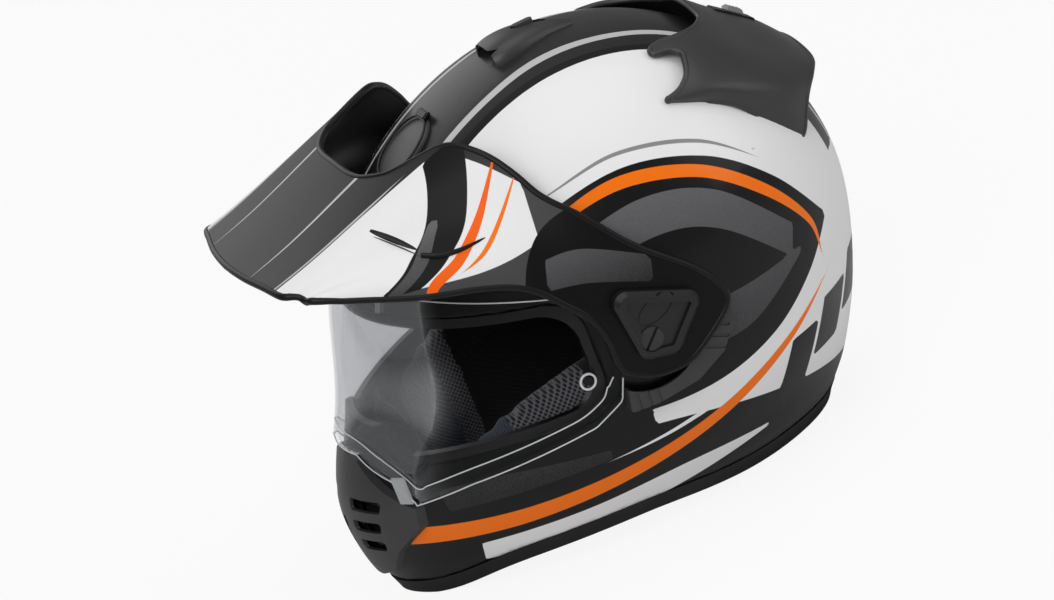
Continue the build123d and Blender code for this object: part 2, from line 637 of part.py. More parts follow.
def cowl_body(inset):
    wires = []
    for along, wide, tall in COWL_ROWS_SHARES:
        half = max(COWL_HALF_WIDTH * wide - inset, COWL_WALL / 2)
        rise = max(COWL_HEIGHT * tall - inset, COWL_WALL / 2)
        y = COWL_REAR_Y - COWL_LENGTH + along * COWL_LENGTH
        base = SHELL_HEIGHT - COWL_HEIGHT
        crown = SHELL_HEIGHT - crown_fall(y) + rise
        shoulder = crown - rise * 0.3
        arc = Spline((-half, y, base), (-half * 0.8, y, shoulder), (0, y, crown), (half * 0.8, y, shoulder),
                     (half, y, base))
        line = Line((half, y, base), (-half, y, base))
        wires.append(Wire(arc.edges() + line.edges()))
    return Solid.make_loft(wires)


def crown_fall(y):
    """How far the crown's centre line drops below the top at y."""
    peak_y = SHELL_REAR * 0.16
    return SHELL_HEIGHT * 0.2 * ((y - peak_y) / SHELL_REAR) ** 2


def cowl_mouth():
    middle = SHELL_HEIGHT + COWL_HEIGHT * 0.2
    return Pos(0, 0, middle) * Box(COWL_HALF_WIDTH * 1.5, COWL_LENGTH * 0.5, COWL_HEIGHT * 0.9)


def slider_slot():
    y = COWL_REAR_Y - COWL_LENGTH * 0.45
    track = SlotOverall(SLIDER_TAB * 3 + CROWN_SLIDE, SLIDER_TAB + 2 * FIT_GAP, 90)
    return Pos(0, y, SHELL_HEIGHT) * extrude(track, amount=3 * COWL_HEIGHT)


def crown_vent_slider():
    """The ridged button on the crown cowl, with a plate that runs below its roof."""
    y = COWL_REAR_Y - COWL_LENGTH * 0.45 - CROWN_SLIDE / 2
    top = SHELL_HEIGHT + COWL_HEIGHT - crown_fall(y) + SLIDER_PROUD
    base = SHELL_HEIGHT + 2 * FIT_GAP - crown_fall(y)
    tab = Pos(0, y, base) * extrude(SlotOverall(SLIDER_TAB * 2.5, SLIDER_TAB, 90), amount=top - base)
    plate = Pos(0, y, base) * extrude(Rectangle(SLIDER_TAB * 2.5, SLIDER_TAB * 3), amount=SLIDER_PROUD)
    return tab + plate


def rear_spoiler():
    """The wing over the rear exhausts, hollow, open in front and below."""
    args = (SPOILER_ROWS_SHARES, SPOILER_HALF_WIDTH, SHELL_REAR, 0, SHELL_HEIGHT)
    side = [(y * SHELL_REAR, z * SHELL_HEIGHT) for y, z in SPOILER_SIDE_SHARES]
    plan = [(x * SPOILER_HALF_WIDTH, y * SHELL_REAR) for x, y in SPOILER_PLAN_SHARES]
    reach = SHELL_HALF_WIDTH + OVERRUN
    body = hull(*args, 0) & side_prism(side, -reach, reach, SPOILER_WALL)
    body = body & plan_prism(both_ways(plan), SPOILER_WALL)
    return body - [hull(*args, SPOILER_WALL), dome(0, 0), rear_slot()]


def rear_slot():
    """The track of the rear vent's lever in the top of the wing."""
    return Pos(0, REAR_LEVER_Y, SHELL_HEIGHT / 2) * extrude(
        SlotOverall(SLIDER_TAB * 2 + 2 * REAR_SLIDE, SLIDER_TAB + 2 * FIT_GAP, 90), amount=SHELL_HEIGHT / 2)


def rear_vent_slider():
    """The ridged lever on the wing, with its foot below the skin; it slides down the slope."""
    lean = radians(REAR_LEVER_SLOPE)
    frame = Plane(origin=(0, REAR_LEVER_Y - REAR_SLIDE / 2, REAR_LEVER_TOP), x_dir=(1, 0, 0),
                  z_dir=(0, sin(lean), cos(lean)))
    depth = 3 * SPOILER_WALL
    foot = frame * Pos(0, 0, -depth)
    tab = foot * extrude(SlotOverall(SLIDER_TAB * 2, SLIDER_TAB, 90), amount=depth)
    return tab + foot * extrude(Rectangle(SLIDER_TAB * 1.6, SLIDER_TAB * 2), amount=SLIDER_PROUD / 2)


def chin_outline(grow):
    points = [(x * (CHIN_COVER_HALF + grow), z * (CHIN_COVER_TOP + grow)) for x, z in CHIN_COVER_SHARES]
    return points + [(-x, z) for x, z in reversed(points[1:])]


def chin_vent_cover():
    back = -SHELL_FRONT - OVERRUN
    near = -SHELL_FRONT / 2
    body = layer(front_prism(chin_outline(0), near, back, CHIN_COVER_WALL), -CHIN_COVER_PROUD, 0)
    hollow = dome(CHIN_COVER_WALL - CHIN_COVER_PROUD, CHIN_COVER_WALL - CHIN_COVER_PROUD)
    inner = front_prism(chin_outline(-3 * CHIN_COVER_WALL), near, back)
    tools = [hollow & inner, chin_slot()]
    inward = CHIN_COVER_HALF * 0.2
    for index in range(CHIN_SLOTS):
        low = CHIN_COVER_TOP * 0.32 + index * CHIN_SLOT_PITCH
        high = low + CHIN_SLOT_HEIGHT
        outward = CHIN_COVER_HALF * (0.5 + 0.06 * index)
        slot = [(inward, low), (outward, low), (outward * 1.08, high), (inward, high)]
        tool = front_prism(slot, near, back, CHIN_COVER_WALL * 0.9)
        tools += [tool, mirrored(tool)]
    return body - tools


def chin_slot():
    """The upright track of the chin vent's knob."""
    return Plane.XZ.offset(SHELL_FRONT / 2) * Pos(0, CHIN_COVER_TOP * 0.45) * extrude(
        SlotOverall(CHIN_KNOB * 2 + 2 * CHIN_SLIDE, CHIN_KNOB + 2 * FIT_GAP, 90), amount=SHELL_FRONT)


def chin_vent_slider():
    """The knob in front of the chin vent, on a plate behind the cover."""
    middle = CHIN_COVER_TOP * 0.45 - CHIN_SLIDE / 2
    half = CHIN_KNOB * 1.5
    square = both_ways([(half, middle - half), (half, middle + half)])
    square = front_prism(square, -SHELL_FRONT / 2, -SHELL_FRONT - OVERRUN, CHIN_KNOB / 4)
    plate = layer(square, -CHIN_COVER_WALL / 2 - FIT_GAP, -FIT_GAP)
    knob = Plane.XZ.offset(SHELL_FRONT - 2 * CHIN_COVER_WALL) * Pos(0, middle) * extrude(
        SlotOverall(CHIN_KNOB * 1.6, CHIN_KNOB, 90), amount=CHIN_COVER_PROUD + CHIN_COVER_WALL)
    return plate + (knob - dome(-FIT_GAP, -FIT_GAP))


def forehead_disc():
    """A plain round badge plate laid on the forehead, with a raised rim."""
    lean = radians(DISC_TILT)
    tilt = Plane(origin=(0, DISC_Y, DISC_HEIGHT), z_dir=(0, -cos(lean), sin(lean)))
    round_cut = tilt * Cylinder(DISC_RADIUS, DISC_RADIUS)
    ring_cut = round_cut - tilt * Cylinder(DISC_RADIUS - DISC_RIM, DISC_RADIUS)
    return layer(round_cut, -DISC_THICKNESS, 0) + layer(ring_cut, -DISC_THICKNESS * 1.6, 0)


def strap_band(points, width, thickness):
    """Webbing that follows a front-view path of (x, z) points and is as wide as width along Y."""
    path = FilletPolyline(*points, radius=STRAP_BEND)
    face = Plane.XZ.offset(-STRAP_Y - width / 2) * trace(path, thickness)
    return extrude(face, amount=width)


def strap_points(reach):
    """From the anchor on the shell's inner wall down and inward to x = reach, flat on the floor."""
    lying = -FLOOR_DROP + STRAP_THICKNESS / 2 + FIT_GAP
    return [(ANCHOR_X, ANCHOR_HEIGHT), (ANCHOR_X * 0.86, ANCHOR_HEIGHT * 0.1),
            (ANCHOR_X * 0.78, -FLOOR_DROP * 0.5), (ANCHOR_X * 0.64, lying), (reach, lying)]


def strap_left():
    """The short strap, whose end is sewn into a loop round the bars of both rings."""
    band = strap_band(strap_points(RING_BAR_X), STRAP_WIDTH, STRAP_THICKNESS)
    inner = RING_WIRE / 2 + FIT_GAP
    outer = inner + STRAP_THICKNESS
    middle = Plane.XZ.offset(-STRAP_Y - STRAP_WIDTH / 2) * Pos(RING_BAR_X - RING_PITCH / 2, ring_height())
    loop = middle * (SlotCenterToCenter(RING_PITCH, 2 * outer) - SlotCenterToCenter(RING_PITCH, 2 * inner))
    hollow = middle * SlotCenterToCenter(RING_PITCH, 2 * inner)
    body = band - extrude(hollow, amount=STRAP_WIDTH) + extrude(loop, amount=STRAP_WIDTH)
    return body - rivet_hole()


def ring_height():
    return -FLOOR_DROP + RING_WIRE / 2 + FIT_GAP + STRAP_THICKNESS + FIT_GAP


def strap_right():
    """The long strap, with a folded end and a snap."""
    points = strap_points(STRAP_END_X)
    band = strap_band(points, STRAP_WIDTH, STRAP_THICKNESS)
    lying = points[-1][1] + STRAP_THICKNESS
    fold = Plane.XZ.offset(-STRAP_Y - STRAP_WIDTH / 2) * Pos(STRAP_END_X + STRAP_WIDTH / 2, lying) * extrude(
        Rectangle(STRAP_WIDTH, STRAP_THICKNESS), amount=STRAP_WIDTH)
    return mirrored(band + fold - rivet_hole())


def anchor_frame():
    """A plane on the strap's upper end whose Z points outward, square to the webbing."""
    (top_x, top_z), (low_x, low_z) = strap_points(RING_BAR_X)[:2]
    run = hypot(top_x - low_x, top_z - low_z)
    outward = ((top_z - low_z) / run, 0, (low_x - top_x) / run)
    origin = (top_x * 0.65 + low_x * 0.35, STRAP_Y, top_z * 0.65 + low_z * 0.35)
    return Plane(origin=origin, x_dir=(0, 1, 0), z_dir=outward)


def rivet_hole():
    return anchor_frame() * Cylinder(RIVET_RADIUS + BEARING_GAP, OVERRUN / 4)


def strap_anchor():
    """A steel block on the shell's inner wall, with the rivet that holds the strap."""
    face = STRAP_THICKNESS / 2 + BEARING_GAP
    frame = anchor_frame()
    block = frame * Pos(0, 0, face) * extrude(Rectangle(STRAP_WIDTH, ANCHOR_LENGTH), amount=OVERRUN / 2)
    shank = frame * Pos(0, 0, -face) * extrude(Circle(RIVET_RADIUS), amount=2 * face)
    head = frame * Pos(0, 0, -face) * extrude(Circle(2 * RIVET_RADIUS), amount=-ANCHOR_WALL)
    return (block & dome(SHELL_WALL, SHELL_WALL)) + shank + head


def d_ring(bar_x, half_width, length):
    """A D-shaped ring of round wire that lies towards the middle from its bar."""
    far_x = bar_x - length
    corners = [(bar_x, -half_width), (bar_x, half_width), (far_x, half_width), (far_x, -half_width)]
    bow = half_width * 0.8
    line = FilletPolyline(*corners, radius=[RING_WIRE, RING_WIRE, bow, bow], close=True)
    path = Pos(0, STRAP_Y, ring_height()) * line
    profile = Plane(origin=path @ 0, z_dir=path % 0) * Circle(RING_WIRE / 2)
    return sweep(profile, path=path)


def inner_ring():
    return d_ring(RING_BAR_X - RING_PITCH, RING_INNER_HALF, RING_LENGTH)


def outer_ring():
    return d_ring(RING_BAR_X, RING_OUTER_HALF, RING_LENGTH + 2 * RING_PITCH)


def pairs(name, shape):
    """The same piece on the wearer's left and right."""
    return {name + "_left": shape, name + "_right": mirrored(shape)}


def assemble():
    nodes = {
        "outer_shell": outer_shell(),
        "eyeport_gasket": eyeport_gasket(),
        "base_trim": base_trim(),
        "chin_trim": chin_trim(),
        "impact_liner": impact_liner(),
        "chin_liner": chin_liner(),
        "breath_guard": breath_guard(),
        "comfort_liner": comfort_liner(),
        "neck_roll": neck_roll(),
        "face_shield": face_shield(),
        "peak": peak(),
        "crown_vent_cowl": crown_vent_cowl(),
        "crown_vent_slider": crown_vent_slider(),
        "rear_spoiler": rear_spoiler(),
        "rear_vent_slider": rear_vent_slider(),
        "chin_vent_cover": chin_vent_cover(),
        "chin_vent_slider": chin_vent_slider(),
        "forehead_disc": forehead_disc(),
        "strap_left": strap_left(),
        "strap_right": strap_right(),
        "d_ring_inner": inner_ring(),
        "d_ring_outer": outer_ring(),
    }
    nodes.update(pairs("cheek_pad", cheek_pad()))
    nodes.update(pairs("pivot_base", pivot_base()))
    nodes.update(pairs("pod_cap", pod_cap()))
    nodes.update(pairs("coin_screw", coin_screw()))
    nodes.update(pairs("shield_pin", shield_pin()))
    nodes.update(pairs("side_cover", side_cover()))
    nodes.update(pairs("strap_anchor", strap_anchor()))
    return nodes


def write(nodes):
    """Put the origin at the middle of the base and write each node to its own file."""
    whole = Compound(children=[Compound(shape.solids()) for shape in nodes.values()]).bounding_box()
    shift = Pos(-whole.center().X, -whole.center().Y, -whole.min.Z)
    os.makedirs("parts", exist_ok=True)
    for name, shape in nodes.items():
        placed = shift * Compound(shape.solids())
        export_step(placed, "parts/" + name + ".step")
        print(name, "solids", len(placed.solids()), "volume", round(placed.volume))
    print("overall", whole.size)
    print("temple axis at y", PIVOT_Y - whole.center().Y, "z", PIVOT_HEIGHT - whole.min.Z)
    print("shift", -whole.center().X, -whole.center().Y, -whole.min.Z)


write(assemble())
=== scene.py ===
from math import cos, sin, radians, pi

import bmesh
import bpy
import numpy as np
from mathutils import Matrix, Vector
from mathutils.bvhtree import BVHTree
from mathutils.geometry import delaunay_2d_cdt


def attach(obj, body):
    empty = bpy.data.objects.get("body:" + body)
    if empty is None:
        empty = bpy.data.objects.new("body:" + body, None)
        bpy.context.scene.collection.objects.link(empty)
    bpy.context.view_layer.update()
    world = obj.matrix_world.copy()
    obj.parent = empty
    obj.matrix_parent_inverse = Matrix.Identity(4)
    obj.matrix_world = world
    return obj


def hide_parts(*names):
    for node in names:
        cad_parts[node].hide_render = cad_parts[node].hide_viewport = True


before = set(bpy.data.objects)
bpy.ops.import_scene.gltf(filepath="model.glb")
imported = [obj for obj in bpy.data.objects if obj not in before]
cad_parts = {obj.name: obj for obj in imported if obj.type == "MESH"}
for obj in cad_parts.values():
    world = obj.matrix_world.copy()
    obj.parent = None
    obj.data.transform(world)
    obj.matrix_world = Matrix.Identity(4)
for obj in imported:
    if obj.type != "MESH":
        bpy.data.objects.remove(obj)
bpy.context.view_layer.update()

# %% [markdown]
# # A dual sport helmet
# The helmet is a hard painted shell with soft pieces inside and moulded plastic pieces outside.
# The solids that are loaded above fix every size and place. This lesson dresses them: most hard
# pieces keep their solid and get a finish, while the shell, the peak, the wing and everything
# soft is made again as a finer mesh in the same place.

# %% Sizes that several steps use, in metres
MM = 0.001
TEMPLE = (0, -2.4 * MM, 131.0 * MM)
WELD = 0.00002
FLOOR_Z = -0.5 * MM
LAMP_AIM = (0, 0, 0.15)

# %% [markdown]
# ## The camera
# The photograph was taken from the wearer's left, a little from above, with the helmet leaning
# nose down in the picture. A long lens far away gives that calm perspective, and turning the
# camera about its own axis gives the lean, so the helmet itself can stand upright.

# %% An object in the scene
def put(name, data):
    """A new object for a mesh, a curve, a lamp or a camera."""
    thing = bpy.data.objects.new(name, data)
    bpy.context.scene.collection.objects.link(thing)
    return thing


# %% Camera
def point_camera(azimuth, elevation, roll, distance, target, focal_pixels, centre, picture):
    """A camera at a photographed angle. centre is where its axis meets the picture, in pixels."""
    turn, rise = radians(azimuth), radians(elevation)
    away = Vector((sin(turn) * cos(rise), -cos(turn) * cos(rise), sin(rise)))
    data = bpy.data.cameras.new("camera")
    data.sensor_width = 36.0
    data.lens = data.sensor_width * focal_pixels / picture[0]
    data.shift_x = (picture[0] / 2 - centre[0]) / picture[0]
    data.shift_y = (centre[1] - picture[1] / 2) / picture[0]
    data.clip_end = 50.0
    camera = put("camera", data)
    upright = away.to_track_quat("Z", "Y").to_matrix().to_4x4()
    place = Matrix.Translation(Vector(target) + away * distance)
    camera.matrix_world = place @ upright @ Matrix.Rotation(radians(roll), 4, "Z")
    bpy.context.scene.camera = camera
    print("the camera's lens is", round(data.lens), "mm long")


point_camera(azimuth=76.7, elevation=21.4, roll=-21.4, distance=2.3858, target=(0, 0.0016, 0.130),
             focal_pixels=4150.4, centre=(568.1, 271.9), picture=(1054, 600))

# %% [markdown]
# ## Floor, lights and background
# A product photograph has soft light from all sides. Four large area lamps and a dim world give
# that. The floor is pale and plain, and the camera sees pure white behind it all, also through
# the clear shield.

# %% Colours
def linear(code):
    """An sRGB hex code as the linear colour that shaders use."""
    parts = [int(code[i:i + 2], 16) / 255 for i in (1, 3, 5)]
    return tuple(c / 12.92 if c <= 0.04045 else ((c + 0.055) / 1.055) ** 2.4 for c in parts) + (1.0,)


# %% One node
def add(tree, kind, inputs=None, **settings):
    """A node with its settings, its input values and the links that lead to it."""
    node = tree.nodes.new(kind)
    for name, value in settings.items():
        setattr(node, name, value)
    for name, value in (inputs or {}).items():
        if isinstance(value, bpy.types.NodeSocket):
            tree.links.new(value, node.inputs[name])
        else:
            node.inputs[name].default_value = value
    return node


# %% A material to fill
def blank(name):
    """A material and its empty node tree."""
    material = bpy.data.materials.new(name)
    material.use_nodes = True
    material.node_tree.nodes.clear()
    return material, material.node_tree


# %% Background
def white_background():
    """A world that is white to the camera, and dim as a light and in reflections."""
    world = bpy.data.worlds.new("studio")
    world.use_nodes = True
    tree = world.node_tree
    tree.nodes.clear()
    rays = add(tree, "ShaderNodeLightPath")
    seen = add(tree, "ShaderNodeMath",
               {0: rays.outputs["Is Camera Ray"], 1: rays.outputs["Is Transmission Ray"]},
               operation="MAXIMUM")
    strength = add(tree, "ShaderNodeMapRange", {"Value": seen.outputs[0], "To Min": 0.26, "To Max": 1.0})
    glow = add(tree, "ShaderNodeBackground", {"Color": (1, 1, 1, 1), "Strength": strength.outputs[0]})
    add(tree, "ShaderNodeOutputWorld", {"Surface": glow.outputs[0]})
    bpy.context.scene.world = world


# %% Lamps
def lamp(name, place, width, power):
    """A soft square light that faces the helmet, with its width in metres and its power in watts."""
    data = bpy.data.lights.new(name, "AREA")
    data.shape = "RECTANGLE"
    data.size = data.size_y = width
    data.energy = power
    light = put(name, data)
    light.location = place
    light.rotation_euler = (Vector(place) - Vector(LAMP_AIM)).to_track_quat("Z", "Y").to_euler()


# %% Floor
def pale_floor(half):
    """A square floor that shows almost white to the camera and takes soft shadows."""
    mesh = bpy.data.meshes.new("floor")
    corners = [(x * half, y * half, FLOOR_Z) for x, y in ((-1, -1), (1, -1), (1, 1), (-1, 1))]
    mesh.from_pydata(corners, [], [(0, 1, 2, 3)])
    floor = put("floor", mesh)
    material, tree = blank("pale floor")
    rays = add(tree, "ShaderNodeLightPath")
    matt = add(tree, "ShaderNodeBsdfDiffuse", {"Color": linear("#e6e6e6")})
    bright = add(tree, "ShaderNodeEmission", {"Color": (1, 1, 1, 1), "Strength": 1.0})
    share = add(tree, "ShaderNodeMath", {0: rays.outputs["Is Camera Ray"], 1: 0.9}, operation="MULTIPLY")
    mix = add(tree, "ShaderNodeMixShader", {0: share.outputs[0], 1: matt.outputs[0], 2: bright.outputs[0]})
    add(tree, "ShaderNodeOutputMaterial", {"Surface": mix.outputs[0]})
    mesh.materials.append(material)


white_background()
pale_floor(4.0)
lamp("key", (1.3, -0.9, 1.5), 1.2, 17)
lamp("top", (0.1, 0.3, 1.7), 1.4, 8)
lamp("rear", (0.9, 1.6, 0.9), 1.0, 5)
lamp("far side", (-1.6, -0.3, 0.9), 1.2, 5)
bpy.context.scene.view_settings.view_transform = "Standard"

# %% [markdown]
# ## Finishes
# Nearly all of the helmet is plastic, rubber or cloth. Moulded plastic has a fine spark-eroded
# grain from its mould, which scatters light a little and shows as a soft sheen. Lacquer lies
# smooth over paint. Each finish below starts from that, with its grain in real millimetres.

# %% A finish with a shader and its output
def finish(name, colour, roughness, shine=0.5, **inputs):
    """A material with one shader. The node tree and the shader come back for more detail."""
    material, tree = blank(name)
    values = {"Base Color": linear(colour), "Roughness": roughness, "Specular IOR Level": shine, **inputs}
    shader = add(tree, "ShaderNodeBsdfPrincipled", values)
    add(tree, "ShaderNodeOutputMaterial", {"Surface": shader.outputs[0]})
    return material, tree, shader


# %% Grain and slow changes of colour
def grain(tree, shader, size, height):
    """A fine bump whose bumps are size metres apart and height metres tall."""
    place = add(tree, "ShaderNodeTexCoord")
    noise = add(tree, "ShaderNodeTexNoise",
                {"Vector": place.outputs["Object"], "Scale": 1 / size, "Detail": 2.0})
    bump = add(tree, "ShaderNodeBump", {"Height": noise.outputs[0], "Distance": height, "Strength": 1.0})
    tree.links.new(bump.outputs[0], shader.inputs["Normal"])


def mottle(tree, shader, colour, other, size):
    """Slow changes between two near colours, as handling and moulding leave them."""
    place = add(tree, "ShaderNodeTexCoord")
    noise = add(tree, "ShaderNodeTexNoise",
                {"Vector": place.outputs["Object"], "Scale": 1 / size, "Detail": 3.0})
    spread = add(tree, "ShaderNodeMapRange", {"Value": noise.outputs[0], "From Min": 0.35, "From Max": 0.65})
    mix = add(tree, "ShaderNodeMix", {0: spread.outputs[0], 6: linear(colour), 7: linear(other)},
              data_type="RGBA")
    tree.links.new(mix.outputs[2], shader.inputs["Base Color"])


# %% Moulded plastic
def moulded(name, colour, other, roughness, shine=0.22):
    """ABS or nylon from a spark-eroded mould: satin, with a grain 0.45 mm apart that dulls its shine."""
    material, tree, shader = finish(name, colour, roughness, shine, IOR=1.52)
    mottle(tree, shader, colour, other, 60 * MM)
    grain(tree, shader, 0.45 * MM, 0.02 * MM)
    return material


vent_abs = moulded("moulded ABS, dark grey", "#343435", "#2d2d2e", 0.42, 0.5)
lip_abs = moulded("moulded ABS, black", "#0d0d0e", "#121213", 0.38)
pod_abs = moulded("moulded ABS, charcoal", "#18181a", "#141415", 0.4, 0.4)
screw_nylon = moulded("moulded nylon, grey", "#3b3b3c", "#333334", 0.5)
badge_abs = moulded("moulded ABS, mid grey", "#4a4a4b", "#424243", 0.4)


# %% Rubber
def rubbery(name, colour, other):
    """EPDM rubber: matt, with a soft dusty bloom."""
    material, tree, shader = finish(name, colour, 0.6, 0.3, IOR=1.5)
    mottle(tree, shader, colour, other, 25 * MM)
    grain(tree, shader, 0.8 * MM, 0.03 * MM)
    return material


trim_rubber = rubbery("EPDM rubber, black", "#121213", "#181819")
guard_rubber = rubbery("soft rubber, dark grey", "#2b2b2d", "#232325")
# The gasket is moulded with a skin, which is smoother than the trim. Its darker colour is
# painted shade, to match the shaded eye opening.
eyeport_shaded_black = finish("EPDM rubber, smooth skin, painted shade", "#070708", 0.3, 0.4, IOR=1.5)[0]


# %% Foam
def beaded_foam():
    """Expanded polystyrene: beads about 3 mm across, pressed together and painted black."""
    material, tree, shader = finish("expanded polystyrene, black", "#0e0e0f", 0.8, 0.15)
    place = add(tree, "ShaderNodeTexCoord")
    beads = add(tree, "ShaderNodeTexVoronoi", {"Vector": place.outputs["Object"], "Scale": 1 / (3 * MM)},
                feature="DISTANCE_TO_EDGE")
    bump = add(tree, "ShaderNodeBump",
               {"Height": beads.outputs["Distance"], "Distance": 0.25 * MM, "Strength": 0.8})
    tree.links.new(bump.outputs[0], shader.inputs["Normal"])
    return material


foam = beaded_foam()


# %% The shield's clear sheet
def clear_sheet():
    """Injection moulded polycarbonate, hard coated: clear face on, with glints where it turns away."""
    material, tree = blank("polycarbonate, clear")
    see_through = add(tree, "ShaderNodeBsdfTransparent", {"Color": linear("#fcfcfd")})
    coat = add(tree, "ShaderNodeBsdfPrincipled",
               {"Base Color": linear("#f4f6f7"), "Metallic": 1.0, "Roughness": 0.05})
    turned = add(tree, "ShaderNodeFresnel", {"IOR": 1.58})
    share = add(tree, "ShaderNodeMapRange", {"Value": turned.outputs[0], "From Min": 0.1, "From Max": 0.9,
                                             "To Min": 0.0, "To Max": 0.45})
    mix = add(tree, "ShaderNodeMixShader",
              {0: share.outputs[0], 1: see_through.outputs[0], 2: coat.outputs[0]})
    add(tree, "ShaderNodeOutputMaterial", {"Surface": mix.outputs[0]})
    return material


clear = clear_sheet()


# %% Metal and metallic paint
def polished_steel():
    """Stainless steel, tumbled until it shines, with faint waves left in it."""
    material, tree, shader = finish("stainless steel, polished", "#c9c9c8", 0.18, Metallic=1.0)
    grain(tree, shader, 0.6 * MM, 0.005 * MM)
    return material


steel = polished_steel()
lever_silver = finish("silver paint on ABS", "#8f8f8f", 0.35, Metallic=0.6)[0]

# %% [markdown]
# ## Hard pieces that keep their solid
# Covers, pods, sliders, screws, foam liners and metal parts have their exact form as solids
# already, so they keep their meshes and only get a finish. One finish serves all the pieces of
# a material, which keeps their tone alike.

# %% Dressing the solids
def dress(material, *names):
    """Gives one finish to some of the loaded solids."""
    for name in names:
        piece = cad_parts[name]
        piece.data.materials.clear()
        piece.data.materials.append(material)
        print(name, "is now", material.name)


dress(vent_abs, "crown_vent_cowl", "crown_vent_slider", "chin_vent_cover", "chin_vent_slider",
      "pivot_base_left", "pivot_base_right", "side_cover_left", "side_cover_right")
dress(lip_abs, "shield_pin_left", "shield_pin_right")
dress(pod_abs, "pod_cap_left", "pod_cap_right")
dress(screw_nylon, "coin_screw_left", "coin_screw_right")
dress(badge_abs, "forehead_disc")
dress(trim_rubber, "base_trim", "chin_trim")
dress(eyeport_shaded_black, "eyeport_gasket")
dress(guard_rubber, "breath_guard")
dress(foam, "impact_liner", "chin_liner")
dress(clear, "face_shield")
dress(steel, "d_ring_inner", "d_ring_outer", "strap_anchor_left", "strap_anchor_right")
dress(lever_silver, "rear_vent_slider")

# %% [markdown]
# ## Fine meshes from the solids
# Paint needs corners close together, because each corner stores how far it lies inside or
# outside a painted shape, and the shader draws a sharp edge where that distance is nought.
# So a copy of the solid's mesh is welded, and its long edges are split until none is long.

# %% From a solid to a new piece
def welded(node):
    """A solid's mesh with its loose triangles joined at their corners."""
    work = bmesh.new()
    work.from_mesh(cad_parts[node].data)
    bmesh.ops.remove_doubles(work, verts=work.verts, dist=WELD)
    return work


def piece_from(name, work):
    """A piece whose mesh comes from the bmesh, which is freed."""
    mesh = bpy.data.meshes.new(name)
    work.to_mesh(mesh)
    work.free()
    return put(name, mesh)


def made_real(piece, modifier):
    """Applies a modifier, so that the piece's own mesh has its result."""
    bpy.context.view_layer.objects.active = piece
    bpy.ops.object.modifier_apply(modifier=modifier.name)


def smooth_by_angle(piece, degrees):
    piece.data.shade_smooth()
    piece.data.set_sharp_from_angle(angle=radians(degrees))


# %% Copying and splitting a solid
MOST_ROUNDS = 7
ENOUGH_FACES = 150000


def copy_of(name, node, spacing):
    """A welded copy of a solid's mesh, with no edge much longer than spacing."""
    work = welded(node)
    for _ in range(MOST_ROUNDS):
        long = [edge for edge in work.edges if edge.calc_length() > spacing]
        if not long or len(work.faces) > ENOUGH_FACES:
            break
        bmesh.ops.subdivide_edges(work, edges=long, cuts=1)
        bmesh.ops.triangulate(work, faces=[face for face in work.faces if len(face.verts) > 3])
    piece = piece_from(name, work)
    print(name, len(piece.data.polygons), "faces")
    return piece


# %% [markdown]
# ## Paint with clean edges
# A pattern could be a picture that is wrapped round the shell, but that blurs from near. Here
# each painted shape is a closed line in the side view, or a line with a width. The shader lays
# one coat over the next wherever a place lies inside its shape, so the edges stay clean.

# %% Smooth lines and closed shapes
def between(a, b, c, d, t):
    """The place a share t of the way from b to c, on a smooth line through a, b, c and d."""
    return b + 0.5 * t * (c - a + t * (2 * a - 5 * b + 4 * c - d + t * (3 * b - 3 * c + d - a)))


def curved(points, steps=10):
    """A smooth line through the points."""
    line = []
    ends = [points[0]] + list(points) + [points[-1]]
    for four in zip(ends, ends[1:], ends[2:], ends[3:]):
        a, b, c, d = (np.array(p, float) for p in four)
        line += [tuple(between(a, b, c, d, step / steps)) for step in range(steps)]
    return line + [tuple(points[-1])]


def band(lower, upper):
    """A closed shape between two smooth lines that run the same way."""
    return curved(lower) + curved(upper)[::-1]


# %% How far a place lies inside a shape
FAR = 1e9
TINY = 1e-12


def inside_by(places, outline):
    """How far each place lies inside a closed outline; outside it is negative."""
    shape = np.array(outline, float)
    nearest = np.full(len(places), FAR)
    crossings = np.zeros(len(places), int)
    for start, end in zip(shape, np.roll(shape, -1, axis=0)):
        run = end - start
        size = max(float(run @ run), TINY)
        along = np.clip(((places - start) @ run) / size, 0, 1)
        nearest = np.minimum(nearest, np.linalg.norm(places - start - along[:, None] * run, axis=1))
        spans = (start[1] > places[:, 1]) != (end[1] > places[:, 1])
        rise = run[1] if abs(run[1]) > TINY else TINY
        crossings += spans & (places[:, 0] < start[0] + (places[:, 1] - start[1]) / rise * run[0])
    return np.where(crossings % 2 == 1, nearest, -nearest)


# %% Reading and storing values at a piece's corners
def corners_of(piece):
    """The places of a piece's corners, in millimetres."""
    places = np.empty(len(piece.data.vertices) * 3, np.float32)
    piece.data.vertices.foreach_get("co", places)
    return places.reshape(-1, 3).astype(float) / MM


def store(piece, name, values):
    """Stores one number at each corner of a piece, for its shader to read."""
    layer = piece.data.attributes.new(name, "FLOAT", "POINT")
    layer.data.foreach_set("value", np.asarray(values, np.float32))


# %% Lines of paint
LINE_REACH = 12
NO_PAINT = -50.0


